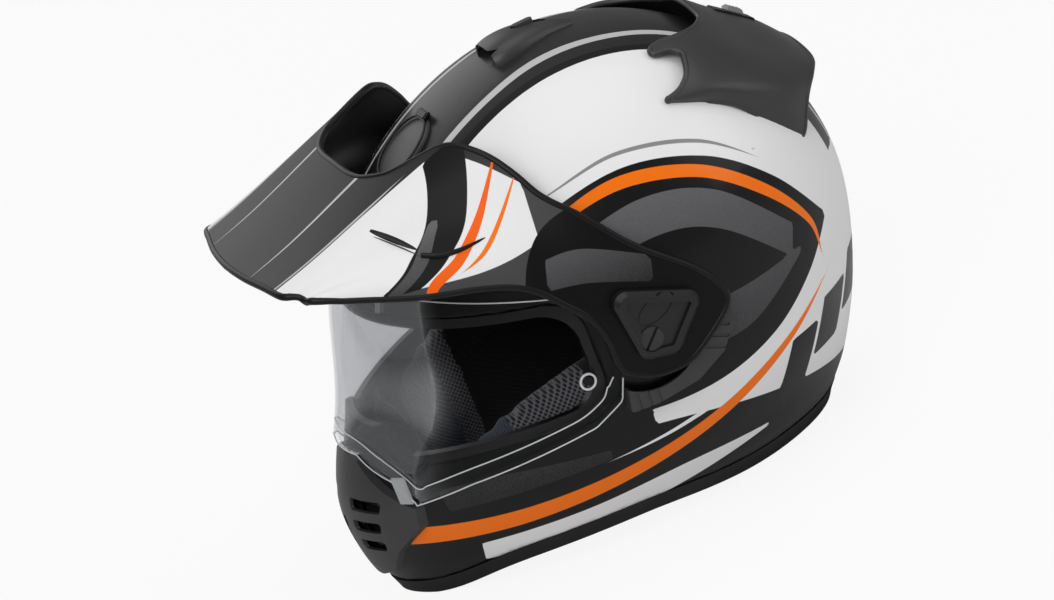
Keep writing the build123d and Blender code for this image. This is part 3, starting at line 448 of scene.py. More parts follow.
def line_field(piece, name, centre, places, kept):
    """Stores a line of paint: each corner's distance from its middle, and half its width there.

    centre is a list of (a, b, half width). Both values change smoothly across the line, so the
    paint's edges stay clean however thin the line is. Corners that aren't kept, or lie further
    off than LINE_REACH, get none of it.
    """
    line = np.array(curved(centre, 12))
    nearest = np.full(len(places), FAR)
    off, half = np.full(len(places), 1e3), np.full(len(places), line[0, 2])
    for start, end in zip(line, line[1:]):
        run = end[:2] - start[:2]
        size = max(float(run @ run), TINY)
        share = ((places - start[:2]) @ run) / size
        along = np.clip(share, 0, 1)
        away = places - start[:2] - along[:, None] * run
        far = np.linalg.norm(away, axis=1)
        side = np.where(run[0] * away[:, 1] - run[1] * away[:, 0] >= 0, 1.0, -1.0)
        closer = far < nearest
        nearest = np.where(closer, far, nearest)
        off = np.where(closer, far * side, off)
        half = np.where(closer, start[2] + along * (end[2] - start[2]), half)
    store(piece, name + "_off", off)
    store(piece, name + "_half", np.where(kept & (nearest < LINE_REACH), half, NO_PAINT))


# %% Coats of paint
SOFT_EDGE = 0.12


def coat_field(tree, name, line):
    """How far inside its painted shape a point lies, in millimetres."""
    if not line:
        return add(tree, "ShaderNodeAttribute", attribute_name=name).outputs["Fac"]
    off = add(tree, "ShaderNodeAttribute", attribute_name=name + "_off")
    half = add(tree, "ShaderNodeAttribute", attribute_name=name + "_half")
    far = add(tree, "ShaderNodeMath", {0: off.outputs["Fac"]}, operation="ABSOLUTE")
    depth = add(tree, "ShaderNodeMath", {0: half.outputs["Fac"], 1: far.outputs[0]}, operation="SUBTRACT")
    return depth.outputs[0]


def layered(tree, shader, ground, coats):
    """Coats of paint over a ground, each where its field is above nought.

    coats holds, by the name of its field, each coat's colour, roughness and metallic share, and
    whether it is a line.
    """
    colour, rough = ground
    metal = 0.0
    for name, (paint, roughness, metallic, line) in coats.items():
        share = add(tree, "ShaderNodeMapRange", {"Value": coat_field(tree, name, line),
                                                 "From Min": -SOFT_EDGE, "From Max": SOFT_EDGE}).outputs[0]
        colour = add(tree, "ShaderNodeMix", {0: share, 6: colour, 7: paint}, data_type="RGBA").outputs[2]
        rough = add(tree, "ShaderNodeMix", {0: share, 2: rough, 3: roughness}, data_type="FLOAT").outputs[0]
        metal = add(tree, "ShaderNodeMix", {0: share, 2: metal, 3: metallic}, data_type="FLOAT").outputs[0]
    tree.links.new(colour, shader.inputs["Base Color"])
    tree.links.new(rough, shader.inputs["Roughness"])
    tree.links.new(metal, shader.inputs["Metallic"])


# %% Flake
def flake(tree, dark, bright, low, high):
    """A base coat that fades from dark to bright between two heights, with metal flakes.

    Real flakes are far smaller than these, which are 0.5 mm across so that they show.
    """
    place = add(tree, "ShaderNodeTexCoord")
    parts = add(tree, "ShaderNodeSeparateXYZ", {"Vector": place.outputs["Object"]})
    fade = add(tree, "ShaderNodeMapRange",
               {"Value": parts.outputs["Z"], "From Min": low * MM, "From Max": high * MM})
    cells = add(tree, "ShaderNodeTexVoronoi", {"Vector": place.outputs["Object"], "Scale": 1 / (0.5 * MM)})
    glint = add(tree, "ShaderNodeMapRange",
                {"Value": cells.outputs["Color"], "To Min": -0.12, "To Max": 0.12})
    tone = add(tree, "ShaderNodeMath", {0: fade.outputs[0], 1: glint.outputs[0]}, operation="ADD",
               use_clamp=True)
    mix = add(tree, "ShaderNodeMix", {0: tone.outputs[0], 6: linear(dark), 7: linear(bright)},
              data_type="RGBA")
    return mix.outputs[2]


# %% [markdown]
# ## The painted shell
# The real shell is laid up in glass fibre, painted, and lacquered. Its pattern here is one of
# plain swept bands and slanted blocks in white, black, orange and flake grey, drawn in the side
# view. A dark band with a pale stripe near each of its edges runs over the crown.

# %% Shapes on the side, as (y, z) in millimetres
FIELD = band([(-70, 100), (-20, 86), (30, 82), (72, 90), (106, 108), (130, 128)],
             [(-70, 188), (-24, 208), (26, 214), (72, 199), (106, 169), (130, 132)])
# Black paint round the eyeport. Its top, under the peak, is painted shade for the peak's shadow.
EYEPORT_BLACK_AND_PEAK_SHADE = band([(-190, 70), (-90, 70), (-50, 68), (-12, 70)],
                     [(-190, 186), (-90, 186), (-50, 190), (-12, 196)])
BROAD_FLAKE = band([(-30, 172), (26, 176), (62, 162), (98, 124)],
                   [(-30, 189), (24, 197), (68, 182), (106, 140)])
NARROW_FLAKE = band([(30, 104), (62, 104), (104, 122)], [(34, 128), (66, 126), (106, 126)])
LOWER = band([(-190, 0), (-60, 0), (60, 0), (150, 0)],
             [(-190, 100), (-120, 88), (-60, 82), (0, 72), (60, 54), (116, 36), (150, 24)])
LOWER_FLAKE = band([(-128, 60), (-90, 62), (-40, 64)], [(-130, 74), (-96, 76), (-40, 70)])
LOWER_WHITE = band([(-118, 20), (-60, 20), (0, 25), (60, 31)], [(-118, 33), (-60, 35), (0, 38), (60, 32)])
REAR_BLOCKS = [[(94 + back, 56 + up), (116 + back, 56 + up), (134 + back, 86 + up), (112 + back, 86 + up)]
               for back, up in ((-30, -9), (0, 0), (30, 9))]

# %% Lines on the side, as (y, z, half width)
SIDE_LINES = {
    "field_line": [(-44, 192, 1.0), (-10, 205.5, 2.4), (26, 207.5, 3.2), (66, 193.5, 3.2), (98, 165, 3.0),
                   (118, 134, 1.8), (119, 112, 0.2)],
    "field_pinline": [(-20, 216, 0.3), (26, 221, 0.9), (74, 206, 0.9), (112, 172, -0.4)],
    "lower_line": [(-150, 46, 6.0), (-90, 45, 5.4), (-30, 50, 4.6), (30, 62, 3.6), (80, 80, 2.2),
                   (116, 98, 0.2)],
    "lower_pinline": [(-60, 62, -0.6), (0, 66, 1.2), (50, 76, 1.4), (100, 100, 0.2)]}

# %% The crown's shape and lines, as (distance from the middle, y) and half widths
CROWN_FROM = 150
CROWN = [(-1, -190), (49, -190), (49, -40), (48, 20), (50, 90), (60, 190), (-1, 190)]
CROWN_LINES = {
    "crown_edge": [(50, -190, 3.0), (50, -60, 3.0), (49, 20, 2.8), (52, 90, 2.4), (62, 190, 2.0)],
    "crown_stripe": [(37, -190, 2.2), (37, -40, 2.6), (34, 20, 3.0), (36, 90, 2.6), (45, 190, 1.8)]}


# %% Laying out the shell's pattern
def union(places, *shapes):
    """How far each place lies inside the nearest of some shapes."""
    return np.maximum.reduce([inside_by(places, shape) for shape in shapes])


def lay_out_shell(shell):
    """Stores each painted shape and line of the shell at its corners."""
    places = corners_of(shell)
    side = places[:, 1:]
    across = np.column_stack((np.abs(places[:, 0]), places[:, 1]))
    above = places[:, 2] - CROWN_FROM
    first, middle, last = REAR_BLOCKS
    # The black coat includes painted shade: the peak's shadow over the eyeport.
    store(shell, "black", union(side, FIELD, LOWER, EYEPORT_BLACK_AND_PEAK_SHADE, first, last))
    store(shell, "flake", union(side, BROAD_FLAKE, NARROW_FLAKE, LOWER_FLAKE, middle))
    store(shell, "white_mark", inside_by(side, LOWER_WHITE))
    store(shell, "crown", np.minimum(inside_by(across, CROWN), above))
    for name, line in SIDE_LINES.items():
        line_field(shell, name, line, side, True)
    for name, line in CROWN_LINES.items():
        line_field(shell, name, line, across, above > 0)


# %% The shell's paint
def shell_paint():
    """Paint under a thin satin lacquer, on glass fibre: smooth, with a soft broad shine."""
    material, tree, shader = finish("lacquered paint on glass fibre", "#f1f1f1", 0.3, 0.22,
                                    **{"Coat Weight": 0.12, "Coat Roughness": 0.12})
    white, orange, black = linear("#f2f2f2"), linear("#ff7800"), linear("#0a0a0b")
    light_grey, mid_grey = linear("#c4c4c5"), linear("#8d8d8f")
    grey_flake = flake(tree, "#232324", "#6a6a6d", 60, 200)
    crown_flake = flake(tree, "#0f0f10", "#2d2d2e", 225, 290)
    layered(tree, shader, (white, 0.34), {
        "black": (black, 0.36, 0.0, False),
        "flake": (grey_flake, 0.42, 0.2, False),
        "white_mark": (white, 0.34, 0.0, False),
        "lower_line": (orange, 0.34, 0.0, True),
        "lower_pinline": (white, 0.34, 0.0, True),
        "field_line": (orange, 0.34, 0.0, True),
        "field_pinline": (mid_grey, 0.36, 0.0, True),
        "crown": (crown_flake, 0.42, 0.0, False),
        "crown_edge": (black, 0.38, 0.0, True),
        "crown_stripe": (light_grey, 0.36, 0.0, True)})
    return material


# %% The shell
shell = copy_of("painted_shell", "outer_shell", 4.2 * MM)
lay_out_shell(shell)
shell.data.materials.append(shell_paint())
smooth_by_angle(shell, 35)
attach(shell, "root")
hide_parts("outer_shell")

# %% [markdown]
# ## Smooth mouldings
# The peak and the rear wing are thin mouldings that curve both ways, with a thick rounded lip all
# round. Each is drawn as a net of cross-sections. A point on it has two numbers: y, and t, which
# counts the points of a cross-section outward from its middle. An outline in y and t is filled
# with triangles, laid on the net, mirrored, given its wall, and edged with a round lip.

# %% A place on a net of cross-sections
def through(stations, values, at):
    """The values between stations, on smooth lines."""
    steps = np.diff(stations)
    slopes = np.diff(values, axis=0) / steps[:, None, None]
    slopes = np.concatenate((slopes[:1], (slopes[1:] + slopes[:-1]) / 2, slopes[-1:]))
    i = np.clip(np.searchsorted(stations, at) - 1, 0, len(steps) - 1)
    h = steps[i][:, None, None]
    t = ((at - stations[i]) / steps[i])[:, None, None]
    return ((1 + 2 * t) * (1 - t) ** 2 * values[i] + t * (1 - t) ** 2 * h * slopes[i]
            + t * t * (3 - 2 * t) * values[i + 1] + t * t * (t - 1) * h * slopes[i + 1])


def on_net(rows, y, t):
    """Places in millimetres, on smooth lines through the rows and along each of them."""
    y, t = np.atleast_1d(y).astype(float), np.atleast_1d(t).astype(float)
    row = through(np.array([r[0] for r in rows]), np.array([r[1] for r in rows], float), y)
    row = np.concatenate((row[:, 1:2] * (-1, 1), row, 2 * row[:, -1:] - row[:, -2:-1]), axis=1)
    i = np.clip(t.astype(int), 0, row.shape[1] - 4)
    f = (t - i)[:, None]
    k = np.arange(len(y))
    a, b, c, d = (row[k, i + j] for j in range(4))
    flat = between(a, b, c, d, f)
    return np.column_stack((flat[:, 0], y, flat[:, 1]))


def unit(vectors):
    """The vectors with their lengths made 1."""
    return vectors / np.linalg.norm(vectors, axis=1, keepdims=True)


def outward(rows, y, t, step=0.02):
    """Unit normals of the net, pointing out."""
    y, t = np.asarray(y), np.asarray(t)
    over = on_net(rows, y, t + step) - on_net(rows, y, t - step * (t > step))
    along = on_net(rows, y + 0.5, t) - on_net(rows, y - 0.5, t)
    return unit(np.cross(over, along))


# %% Filling an outline
CLEAR_OF_EDGE = 0.55
ONE_PLACE = 1e-5


def filled(outline, spans, pitch):
    """Triangles about pitch wide inside an outline of (y, t) points. spans is each t in millimetres.

    The result is the corners' y and t, and the faces. The grid keeps clear of the outline by
    CLEAR_OF_EDGE of its pitch, so that no triangle there is a sliver.
    """
    edge = np.array(curved(outline, 8))
    edge = np.column_stack((edge[:, 0], np.interp(edge[:, 1], range(len(spans)), spans)))
    middle = np.linspace(edge[-1, 0], edge[0, 0], int(abs(edge[-1, 0] - edge[0, 0]) / pitch) + 2)[1:-1]
    edge = np.concatenate((edge, np.column_stack((middle, np.zeros(len(middle))))))
    across, along = np.meshgrid(np.arange(edge[:, 1].min(), edge[:, 1].max(), pitch),
                                np.arange(edge[:, 0].min(), edge[:, 0].max(), pitch))
    grid = np.column_stack((along.ravel(), across.ravel()))
    grid = grid[inside_by(grid, edge) > pitch * CLEAR_OF_EDGE]
    flat = [Vector(p) for p in np.concatenate((edge, grid))]
    corners, _, faces, *_ = delaunay_2d_cdt(flat, [], [list(range(len(edge)))], 1, ONE_PLACE)
    corners = np.array([tuple(p) for p in corners])
    return corners[:, 0], np.interp(corners[:, 1], spans, range(len(spans))), faces


# %% Laying a filled outline on the net
ON_MIDDLE = 1e-4


def moulding(name, rows, outline, spans, pitch, wall, outer, inner):
    """A thin skin inside an outline of (y, t) points, from its middle line out, and its mirror image."""
    y, t, faces = filled(outline, spans, pitch)
    places = on_net(rows, y, t)
    places[t < ON_MIDDLE, 0] = 0.0
    mesh = bpy.data.meshes.new(name)
    mesh.from_pydata([tuple(p) for p in places * MM] + [tuple(p) for p in places * (-MM, MM, MM)], [],
                     [tuple(f) for f in faces] + [tuple(i + len(places) for i in f)[::-1] for f in faces])
    work = bmesh.new()
    work.from_mesh(mesh)
    bmesh.ops.remove_doubles(work, verts=work.verts, dist=WELD)
    bmesh.ops.recalc_face_normals(work, faces=work.faces)
    if sum(face.normal.z * face.calc_area() for face in work.faces) < 0:
        bmesh.ops.reverse_faces(work, faces=work.faces)
    work.to_mesh(mesh)
    work.free()
    piece = put(name, mesh)
    thick = piece.modifiers.new("wall", "SOLIDIFY")
    thick.thickness, thick.offset = wall * MM, -1.0
    thick.material_offset = 1
    mesh.materials.append(outer)
    mesh.materials.append(inner)
    made_real(piece, thick)
    smooth_by_angle(piece, 50)
    print(name, len(mesh.polygons), "faces")
    return piece


# %% Round lips and other tubes
def lip(name, rows, outline, radius, wall, body, material):
    """A round lip along an outline and its mirror image."""
    edge = np.array(curved(outline, 6))
    places = on_net(rows, edge[:, 0], edge[:, 1]) - outward(rows, edge[:, 0], edge[:, 1]) * wall / 2
    places[0, 0] = places[-1, 0] = 0.0
    loop = np.concatenate((places, (places * (-1, 1, 1))[-2:0:-1]))
    return tube(name, [loop], radius, True, body, material)


def plain_mesh(guide):
    """The mesh that a guide object shows. The guide itself goes."""
    mesh = bpy.data.meshes.new_from_object(guide.evaluated_get(bpy.context.evaluated_depsgraph_get()))
    bpy.data.objects.remove(guide)
    return mesh


def tube(name, lines, radius, closed, body, material):
    """Round tubes along lines of places in millimetres, as one mesh."""
    curve = bpy.data.curves.new(name, "CURVE")
    curve.dimensions = "3D"
    curve.bevel_depth, curve.bevel_resolution, curve.use_fill_caps = MM, 3, True
    for line in lines:
        spline = curve.splines.new("POLY")
        spline.points.add(len(line) - 1)
        spline.points.foreach_set("co", [v for x, y, z in line for v in (x * MM, y * MM, z * MM, 1.0)])
        spline.points.foreach_set("radius", np.full(len(line), radius, np.float32))
        spline.use_cyclic_u = closed
    mesh = plain_mesh(put(name, curve))
    piece = put(name, mesh)
    mesh.shade_smooth()
    mesh.materials.clear()
    mesh.materials.append(material)
    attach(piece, body)
    print(name, len(mesh.polygons), "faces")
    return piece


# %% [markdown]
# ## The painted peak
# The peak is a folded sheet of matt painted plastic. Its top is dark grey with one fine pale
# stripe to each side of the middle and a finer one along each fold. Its sides carry swept bands
# in the shell's colours, and its arms run back to the temples in black and flake grey.

# %% The peak's net and outline
PEAK_ROWS = [
    (-188.3, [(0.0, 223.7), (68.0, 219.7), (80.0, 215.6), (90.0, 206.5), (90.0, 100.7)]),
    (-148.3, [(0.0, 234.7), (70.0, 229.8), (86.0, 219.7), (99.1, 206.5), (100.0, 100.7)]),
    (-104.4, [(0.0, 250.9), (71.0, 243.8), (94.0, 222.6), (114.0, 196.5), (116.0, 100.7)]),
    (-72.4, [(0.0, 264.0), (72.1, 254.0), (99.1, 225.8), (123.0, 189.5), (127.0, 100.7)]),
    (-48.3, [(0.0, 274.1), (74.0, 261.0), (106.0, 225.8), (131.0, 179.4), (134.0, 100.7)]),
    (-18.4, [(0.0, 282.2), (84.0, 264.0), (121.0, 210.6), (137.0, 153.2), (137.0, 100.7)]),
    (21.6, [(0.0, 287.3), (94.9, 262.0), (128.0, 196.5), (137.0, 151.2), (137.0, 100.7)]),
    (61.6, [(0.0, 287.3), (100.0, 262.0), (130.0, 196.5), (137.0, 151.2), (137.0, 100.7)])]
PEAK_SPANS = (0, 76, 108, 145, 225)
PEAK_WALL = 2.8
PEAK_LIP = 2.1


def down_to(rows, y, z):
    """The t at which a row's flank has come down to height z."""
    steps = np.linspace(1.0, len(rows[0][1]) - 1.0, 200)
    heights = on_net(rows, np.full(len(steps), float(y)), steps)[:, 2]
    return float(np.interp(-z, -heights, steps))


PEAK_ARM = [(-39.5, 169.0), (-28.3, 154.4), (-23.4, 138.8), (-22.5, 120.6), (-12.4, 110.8), (1.6, 106.3),
            (16.6, 106.8), (31.5, 114.9), (44.6, 124.9), (47.6, 134.0), (39.7, 149.2), (24.6, 165.3),
            (6.0, 184.5)]
PEAK_FRONT = [(-179.8, 0.0), (-179.2, 0.2), (-177.4, 0.45), (-173.4, 0.8), (-169.8, 1.25), (-165.6, 1.6),
              (-161.5, 1.9), (-159.3, 2.3), (-157.0, 2.66), (-148.5, 2.81), (-138.0, 2.88), (-116.6, 2.93),
              (-87.6, 2.96), (-56.7, 2.97)]
PEAK_NOTCH = [(-3.0, 2.13), (-11.9, 1.99), (-24.5, 1.83), (-31.0, 1.63), (-38.1, 1.41), (-44.6, 1.24),
              (-50.7, 1.09), (-57.5, 0.99), (-67.7, 0.91), (-79.2, 0.83), (-87.3, 0.75), (-94.3, 0.61),
              (-98.8, 0.47), (-100.9, 0.28), (-101.2, 0.0)]
PEAK_EDGE = PEAK_FRONT + [(y, down_to(PEAK_ROWS, y, z)) for y, z in PEAK_ARM] + PEAK_NOTCH

# %% Shapes on the peak's side, as (y, z)
PEAK_SHAPES = {
    "white": band([(-186, 214), (-150, 209), (-110, 205), (-70, 200), (-36, 202)],
                  [(-186, 226), (-150, 234), (-110, 243), (-60, 256), (-30, 232)]),
    "sweep": band([(-128, 206), (-104, 216), (-84, 230), (-66, 262)],
                  [(-104, 204), (-84, 212), (-64, 226), (-44, 262)]),
    "sweep_flake": band([(-124, 206), (-101, 216), (-82, 230)], [(-116, 204), (-94, 214), (-77, 229)]),
    "arm": band([(-60, 170), (-48, 195), (-26, 210), (10, 214)], [(-60, 90), (0, 90), (70, 90), (70, 220)]),
    "arm_flake": band([(-44, 178), (-20, 172), (12, 158)], [(-38, 193), (-16, 190), (16, 172)])}

# %% Lines on the peak's side, as (y, z, half width), and on its top, as (from the middle, y, half width)
PEAK_SIDE_LINES = {
    "orange": [(-104, 190, 2.6), (-98, 202, 2.6), (-78, 210, 2.4), (-58, 224, 1.8), (-38, 246, 0.5)],
    "pinline": [(-86, 202.5, -0.4), (-66, 208, 1.0), (-46, 222, 0.9), (-30, 238, 0.2)]}
PEAK_TOP_LINES = {
    "stripe": [(37.6, -176, 0.1), (37.8, -150, 0.7), (38.2, -100, 1.3), (38.4, -94, 1.3)],
    "fold_line": [(67.0, -182, 0.6), (68.5, -148, 0.7), (70.0, -104, 0.7), (70.5, -72, -0.4)]}
FOLD_Y = (-180, -104, -48, -18)
FOLD_X = (69.5, 71.5, 74.5, 80)


# %% Laying out the peak's pattern
def lay_out_peak(peak):
    """Stores each painted shape and line of the peak. Those of the side end at its fold."""
    places = corners_of(peak)
    side = places[:, 1:]
    across = np.column_stack((np.abs(places[:, 0]), places[:, 1]))
    flank = np.abs(places[:, 0]) - np.interp(places[:, 1], FOLD_Y, FOLD_X)
    for name, shape in PEAK_SHAPES.items():
        store(peak, name, np.minimum(inside_by(side, shape), flank))
    for name, line in PEAK_SIDE_LINES.items():
        line_field(peak, name, line, side, flank > 0)
    for name, line in PEAK_TOP_LINES.items():
        line_field(peak, name, line, across, True)


# %% The peak's paint
def peak_paint():
    """Matt paint on moulded ABS, whose grain still shows through."""
    material, tree, shader = finish("matt paint on ABS", "#3b3b3c", 0.45, 0.18)
    white, black, pale = linear("#f2f2f2"), linear("#080809"), linear("#c4c4c5")
    top_flake = flake(tree, "#474748", "#232324", 222, 264)
    sweep_flake = flake(tree, "#3a3a3b", "#6c6c6e", 200, 240)
    arm_flake = flake(tree, "#262627", "#5c5c5e", 155, 195)
    layered(tree, shader, (top_flake, 0.5), {
        "stripe": (pale, 0.45, 0.0, True),
        "fold_line": (pale, 0.45, 0.0, True),
        "white": (white, 0.42, 0.0, False),
        "sweep": (black, 0.45, 0.0, False),
        "sweep_flake": (sweep_flake, 0.45, 0.2, False),
        "arm": (black, 0.45, 0.0, False),
        "arm_flake": (arm_flake, 0.45, 0.2, False),
        "orange": (linear("#ff6600"), 0.42, 0.0, True),
        "pinline": (linear("#ff7a00"), 0.42, 0.0, True)})
    grain(tree, shader, 0.5 * MM, 0.012 * MM)
    return material


# %% The peak and its lip
peak = moulding("painted_peak", PEAK_ROWS, PEAK_EDGE, PEAK_SPANS, 2.6, PEAK_WALL, peak_paint(), lip_abs)
lay_out_peak(peak)
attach(peak, "peak")
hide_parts("peak")
lip("peak_lip", PEAK_ROWS, PEAK_EDGE, PEAK_LIP, PEAK_WALL, "peak", lip_abs)


# %% Ribs on the peak's sides
RIB_SUNK = 0.4
RIB_TAPER = 0.6


def rib(name, rows, path, width, height, begin, body, material):
    """A tapered rib along a (y, z) path on the flank, and its mirror image on the other flank.

    width is half its foot. begin is how far along its swell it starts: 0 for a pointed start,
    0.5 for a blunt one. Its foot is sunk into the flank by RIB_SUNK.
    """
    mesh = bpy.data.meshes.new(name)
    corners, faces = [], []
    turn = np.linspace(0, pi, 9)
    line = np.array(curved(path, 10))
    t = [down_to(rows, y, z) for y, z in line]
    places, normals = on_net(rows, line[:, 0], t), outward(rows, line[:, 0], t)
    sides = np.cross(normals, unit(np.gradient(places, axis=0)))
    taper = np.sin(np.linspace(begin * pi, pi, len(line))) ** RIB_TAPER
    for mirror in (1, -1):
        first = len(corners)
        for place, normal, side, share in zip(places, normals, sides, taper):
            for angle in turn:
                rise = sin(angle) * height * share - RIB_SUNK
                spot = place + side * cos(angle) * width * share + normal * rise
                corners.append(tuple(spot * (mirror * MM, MM, MM)))
        for i in range(len(line) - 1):
            for j in range(len(turn) - 1):
                a = first + i * len(turn) + j
                faces.append((a, a + 1, a + 1 + len(turn), a + len(turn))[::mirror])
    mesh.from_pydata(corners, [], faces)
    piece = put(name, mesh)
    mesh.shade_smooth()
    mesh.materials.append(material)
    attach(piece, body)
    print(name, len(mesh.polygons), "faces")


# %% The louver's mouth, its lip in mid grey as a painted highlight, and the fin
LOUVER = [(-112, 236), (-106, 230.5), (-99.5, 224.3), (-94, 219)]
LOUVER_LIP_HIGHLIGHT = [(y - 0.8, z - 2.4) for y, z in LOUVER]
FIN = [(-95, 217.6), (-86, 214.6), (-74, 213.6), (-60, 214.5)]
rib("peak_louver_mouth", PEAK_ROWS, LOUVER, 2.0, 0.9, 0.12, "peak", lip_abs)
# The lip is mid grey as a painted highlight of the gloss along the louver's lower edge.
rib("peak_louver_lip_highlight", PEAK_ROWS, LOUVER_LIP_HIGHLIGHT, 0.5, 1.3, 0.0, "peak", badge_abs)
rib("peak_fin", PEAK_ROWS, FIN, 1.7, 2.6, 0.3, "peak", lip_abs)

# %% [markdown]
# ## The shield's edges
# A clear sheet is seen mostly by its edges, where light that runs inside it comes out. That light
# is painted: a pale bead, a painted highlight, follows the sheet's border, and a second one follows
# the step round the pane, some way in.

# %% The border of a solid's outer face
FACING_OUT = 0.7


def border_chains(node, degrees):
    """The solid's welded mesh, and its outer border as chains of places in millimetres.

    The border is where two faces meet at more than degrees and one of them faces away from the
    line through the temples.
    """
    work = welded(node)
    work.verts.index_update()
    middle = Vector(TEMPLE)
    links = {}
    for edge in work.edges:
        if len(edge.link_faces) == 2 and edge.calc_face_angle() > radians(degrees):
            centre = (edge.verts[0].co + edge.verts[1].co) / 2
            if max(face.normal.dot((centre - middle).normalized()) for face in edge.link_faces) > FACING_OUT:
                one, other = (vert.index for vert in edge.verts)
                links.setdefault(one, []).append(other)
                links.setdefault(other, []).append(one)
    places = {vert.index: vert.co / MM for vert in work.verts}
    chains, left = [], set(links)
    while left:
        start = next((i for i in left if len(links[i]) == 1), next(iter(left)))
        chain, here = [start], start
        left.discard(start)
        while nexts := [i for i in links[here] if i in left]:
            here = nexts[0]
            left.discard(here)
            chain.append(here)
        chains.append([tuple(places[i]) for i in chain])
    return work, sorted(chains, key=len, reverse=True)


# %% A line's length, and even places along it
def run_lengths(line):
    """How far along a line each of its points lies."""
    return np.concatenate(([0], np.cumsum(np.linalg.norm(np.diff(line, axis=0), axis=1))))


def evened(line, count):
    """The line as count places at even distances."""
    lengths = run_lengths(line)
    at = np.linspace(0, lengths[-1], count)
    return np.column_stack([np.interp(at, lengths, line[:, k]) for k in range(3)])


# %% The rim and the step of the shield, in millimetres
PANE_SHARE = 0.8
PANE_Y = -95
PANE_Z = 125
HUB_FRONT = -22
STEP_TOP = 150
EDGE_RADIUS = 0.4
JUST_OUTSIDE = 1.004
SMOOTH_BY = 4
SHORTEST_RUN = 8


def stepped_in(border, face, inset):
    """Each place moved inset along the sheet, to the side on which the pane's middle lies.

    The line is then smoothed over SMOOTH_BY neighbours to each side.
    """
    inner = []
    for place, step in zip(border, np.gradient(border, axis=0)):
        _, normal, _, _ = face.find_nearest(Vector(place * MM) * JUST_OUTSIDE)
        away = normal.cross(Vector(step)).normalized()
        spots = [face.find_nearest((Vector(place) + away * sign * inset) * MM)[0] / MM for sign in (1, -1)]
        pane = Vector((PANE_SHARE * place[0], PANE_Y, PANE_Z))
        inner.append(tuple(min(spots, key=lambda spot: (spot - pane).length)))
    width = 2 * SMOOTH_BY + 1
    padded = np.pad(np.array(inner), ((SMOOTH_BY, SMOOTH_BY), (0, 0)), "edge")
    return np.column_stack([np.convolve(padded[:, k], np.ones(width) / width, "valid") for k in range(3)])


def shown_runs(line, shown):
    """The stretches of a line that are shown, without the very short ones."""
    runs = np.split(np.arange(len(shown)), np.flatnonzero(np.diff(shown.astype(int))) + 1)
    return [line[run] for run in runs if shown[run[0]] and len(run) > SHORTEST_RUN]


# Light that runs inside the sheet leaves it at the edges, so they look pale and glossy. The beads
# that follow them carry this as a painted highlight.
painted_edge_highlight = finish("polycarbonate edge, painted highlight", "#d2d5d8", 0.12, 0.8)[0]
sheet, chains = border_chains("face_shield", 40)
border = evened(np.array(chains[0]), 400)
inner = stepped_in(border, BVHTree.FromBMesh(sheet), 9.0)
sheet.free()
ahead = border[:, 1] < HUB_FRONT
tube("shield_rim_highlight", shown_runs(border, ahead), EDGE_RADIUS, False, "shield", painted_edge_highlight)
tube("shield_step_highlight", shown_runs(inner, ahead & (border[:, 2] < STEP_TOP)), EDGE_RADIUS, False, "shield",
     painted_edge_highlight)


# %% [markdown]
# ## Small trim
# A lift tab, a bracket and a lever's cap are small mouldings, each near enough a box. A cube
# that is scaled and bevelled gives them their soft edges. The rings round the posts and the
# forehead disc are thin tubes along a circle.

# %% Small moulded blocks with rounded edges
def block(name, place, lean, turn, size, body, material):
    """A block of size (x, y, z) in mm, leant about X and then turned about Z, in radians."""
    work = bmesh.new()
    bmesh.ops.create_cube(work, size=1.0)
    bmesh.ops.scale(work, verts=work.verts, vec=Vector(size) * MM)
    bmesh.ops.bevel(work, geom=work.edges[:], offset=0.3 * min(size) * MM, segments=3, affect="EDGES")
    bmesh.ops.transform(work, verts=work.verts, matrix=Matrix.Translation(Vector(place) * MM)
                        @ Matrix.Rotation(turn, 4, "Z") @ Matrix.Rotation(lean, 4, "X"))
    piece = piece_from(name, work)
    piece.data.materials.append(material)
    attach(piece, body)
    print(name, len(piece.data.polygons), "faces")


# %% The lift tab on the wearer's left, and the rings that the posts stand in
frosted = finish("polycarbonate, frosted", "#c9ccce", 0.45, Alpha=0.55)[0]
block("shield_tab", (57.5, -146.6, 79), 0.0, radians(33.4), (10, 2.2, 17), "shield", frosted)
POST_RING = 4.4
POST = (127.2, -40.4, 118)
around = np.linspace(0, 2 * pi, 25)[:-1]
post_rings = [np.column_stack((np.full(24, side * POST[0]), POST[1] + POST_RING * np.cos(around),
                               POST[2] + POST_RING * np.sin(around))) for side in (1, -1)]
# The rings are pale with the same painted edge highlight as the shield's border.
tube("shield_post_rings", post_rings, 0.7, True, "shield", painted_edge_highlight)

# %% The ring and the bracket of the forehead disc
DISC_LEAN = radians(31.5)
DISC_RING = 20.3
DISC_BRACKET = 21.5
DISC = (0.0, -61.6, 243.2)
disc_ring = np.column_stack((DISC_RING * np.cos(around),
                             DISC[1] + DISC_RING * cos(DISC_LEAN) * np.sin(around),
                             DISC[2] + DISC_RING * sin(DISC_LEAN) * np.sin(around)))
tube("forehead_ring", [disc_ring], 0.8, True, "root", pod_abs)
bracket = (0, DISC[1] + DISC_BRACKET * cos(DISC_LEAN), DISC[2] + DISC_BRACKET * sin(DISC_LEAN))
block("forehead_bracket", bracket, DISC_LEAN, 0.0, (15, 6, 3.4), "root", lip_abs)

# %% [markdown]
# ## The wing
# The wing over the rear vents is one soft form in unpainted dark ABS. It has an upper and a lower
# prong to each side, an open mouth in the middle, and a crease below which its side turns in.

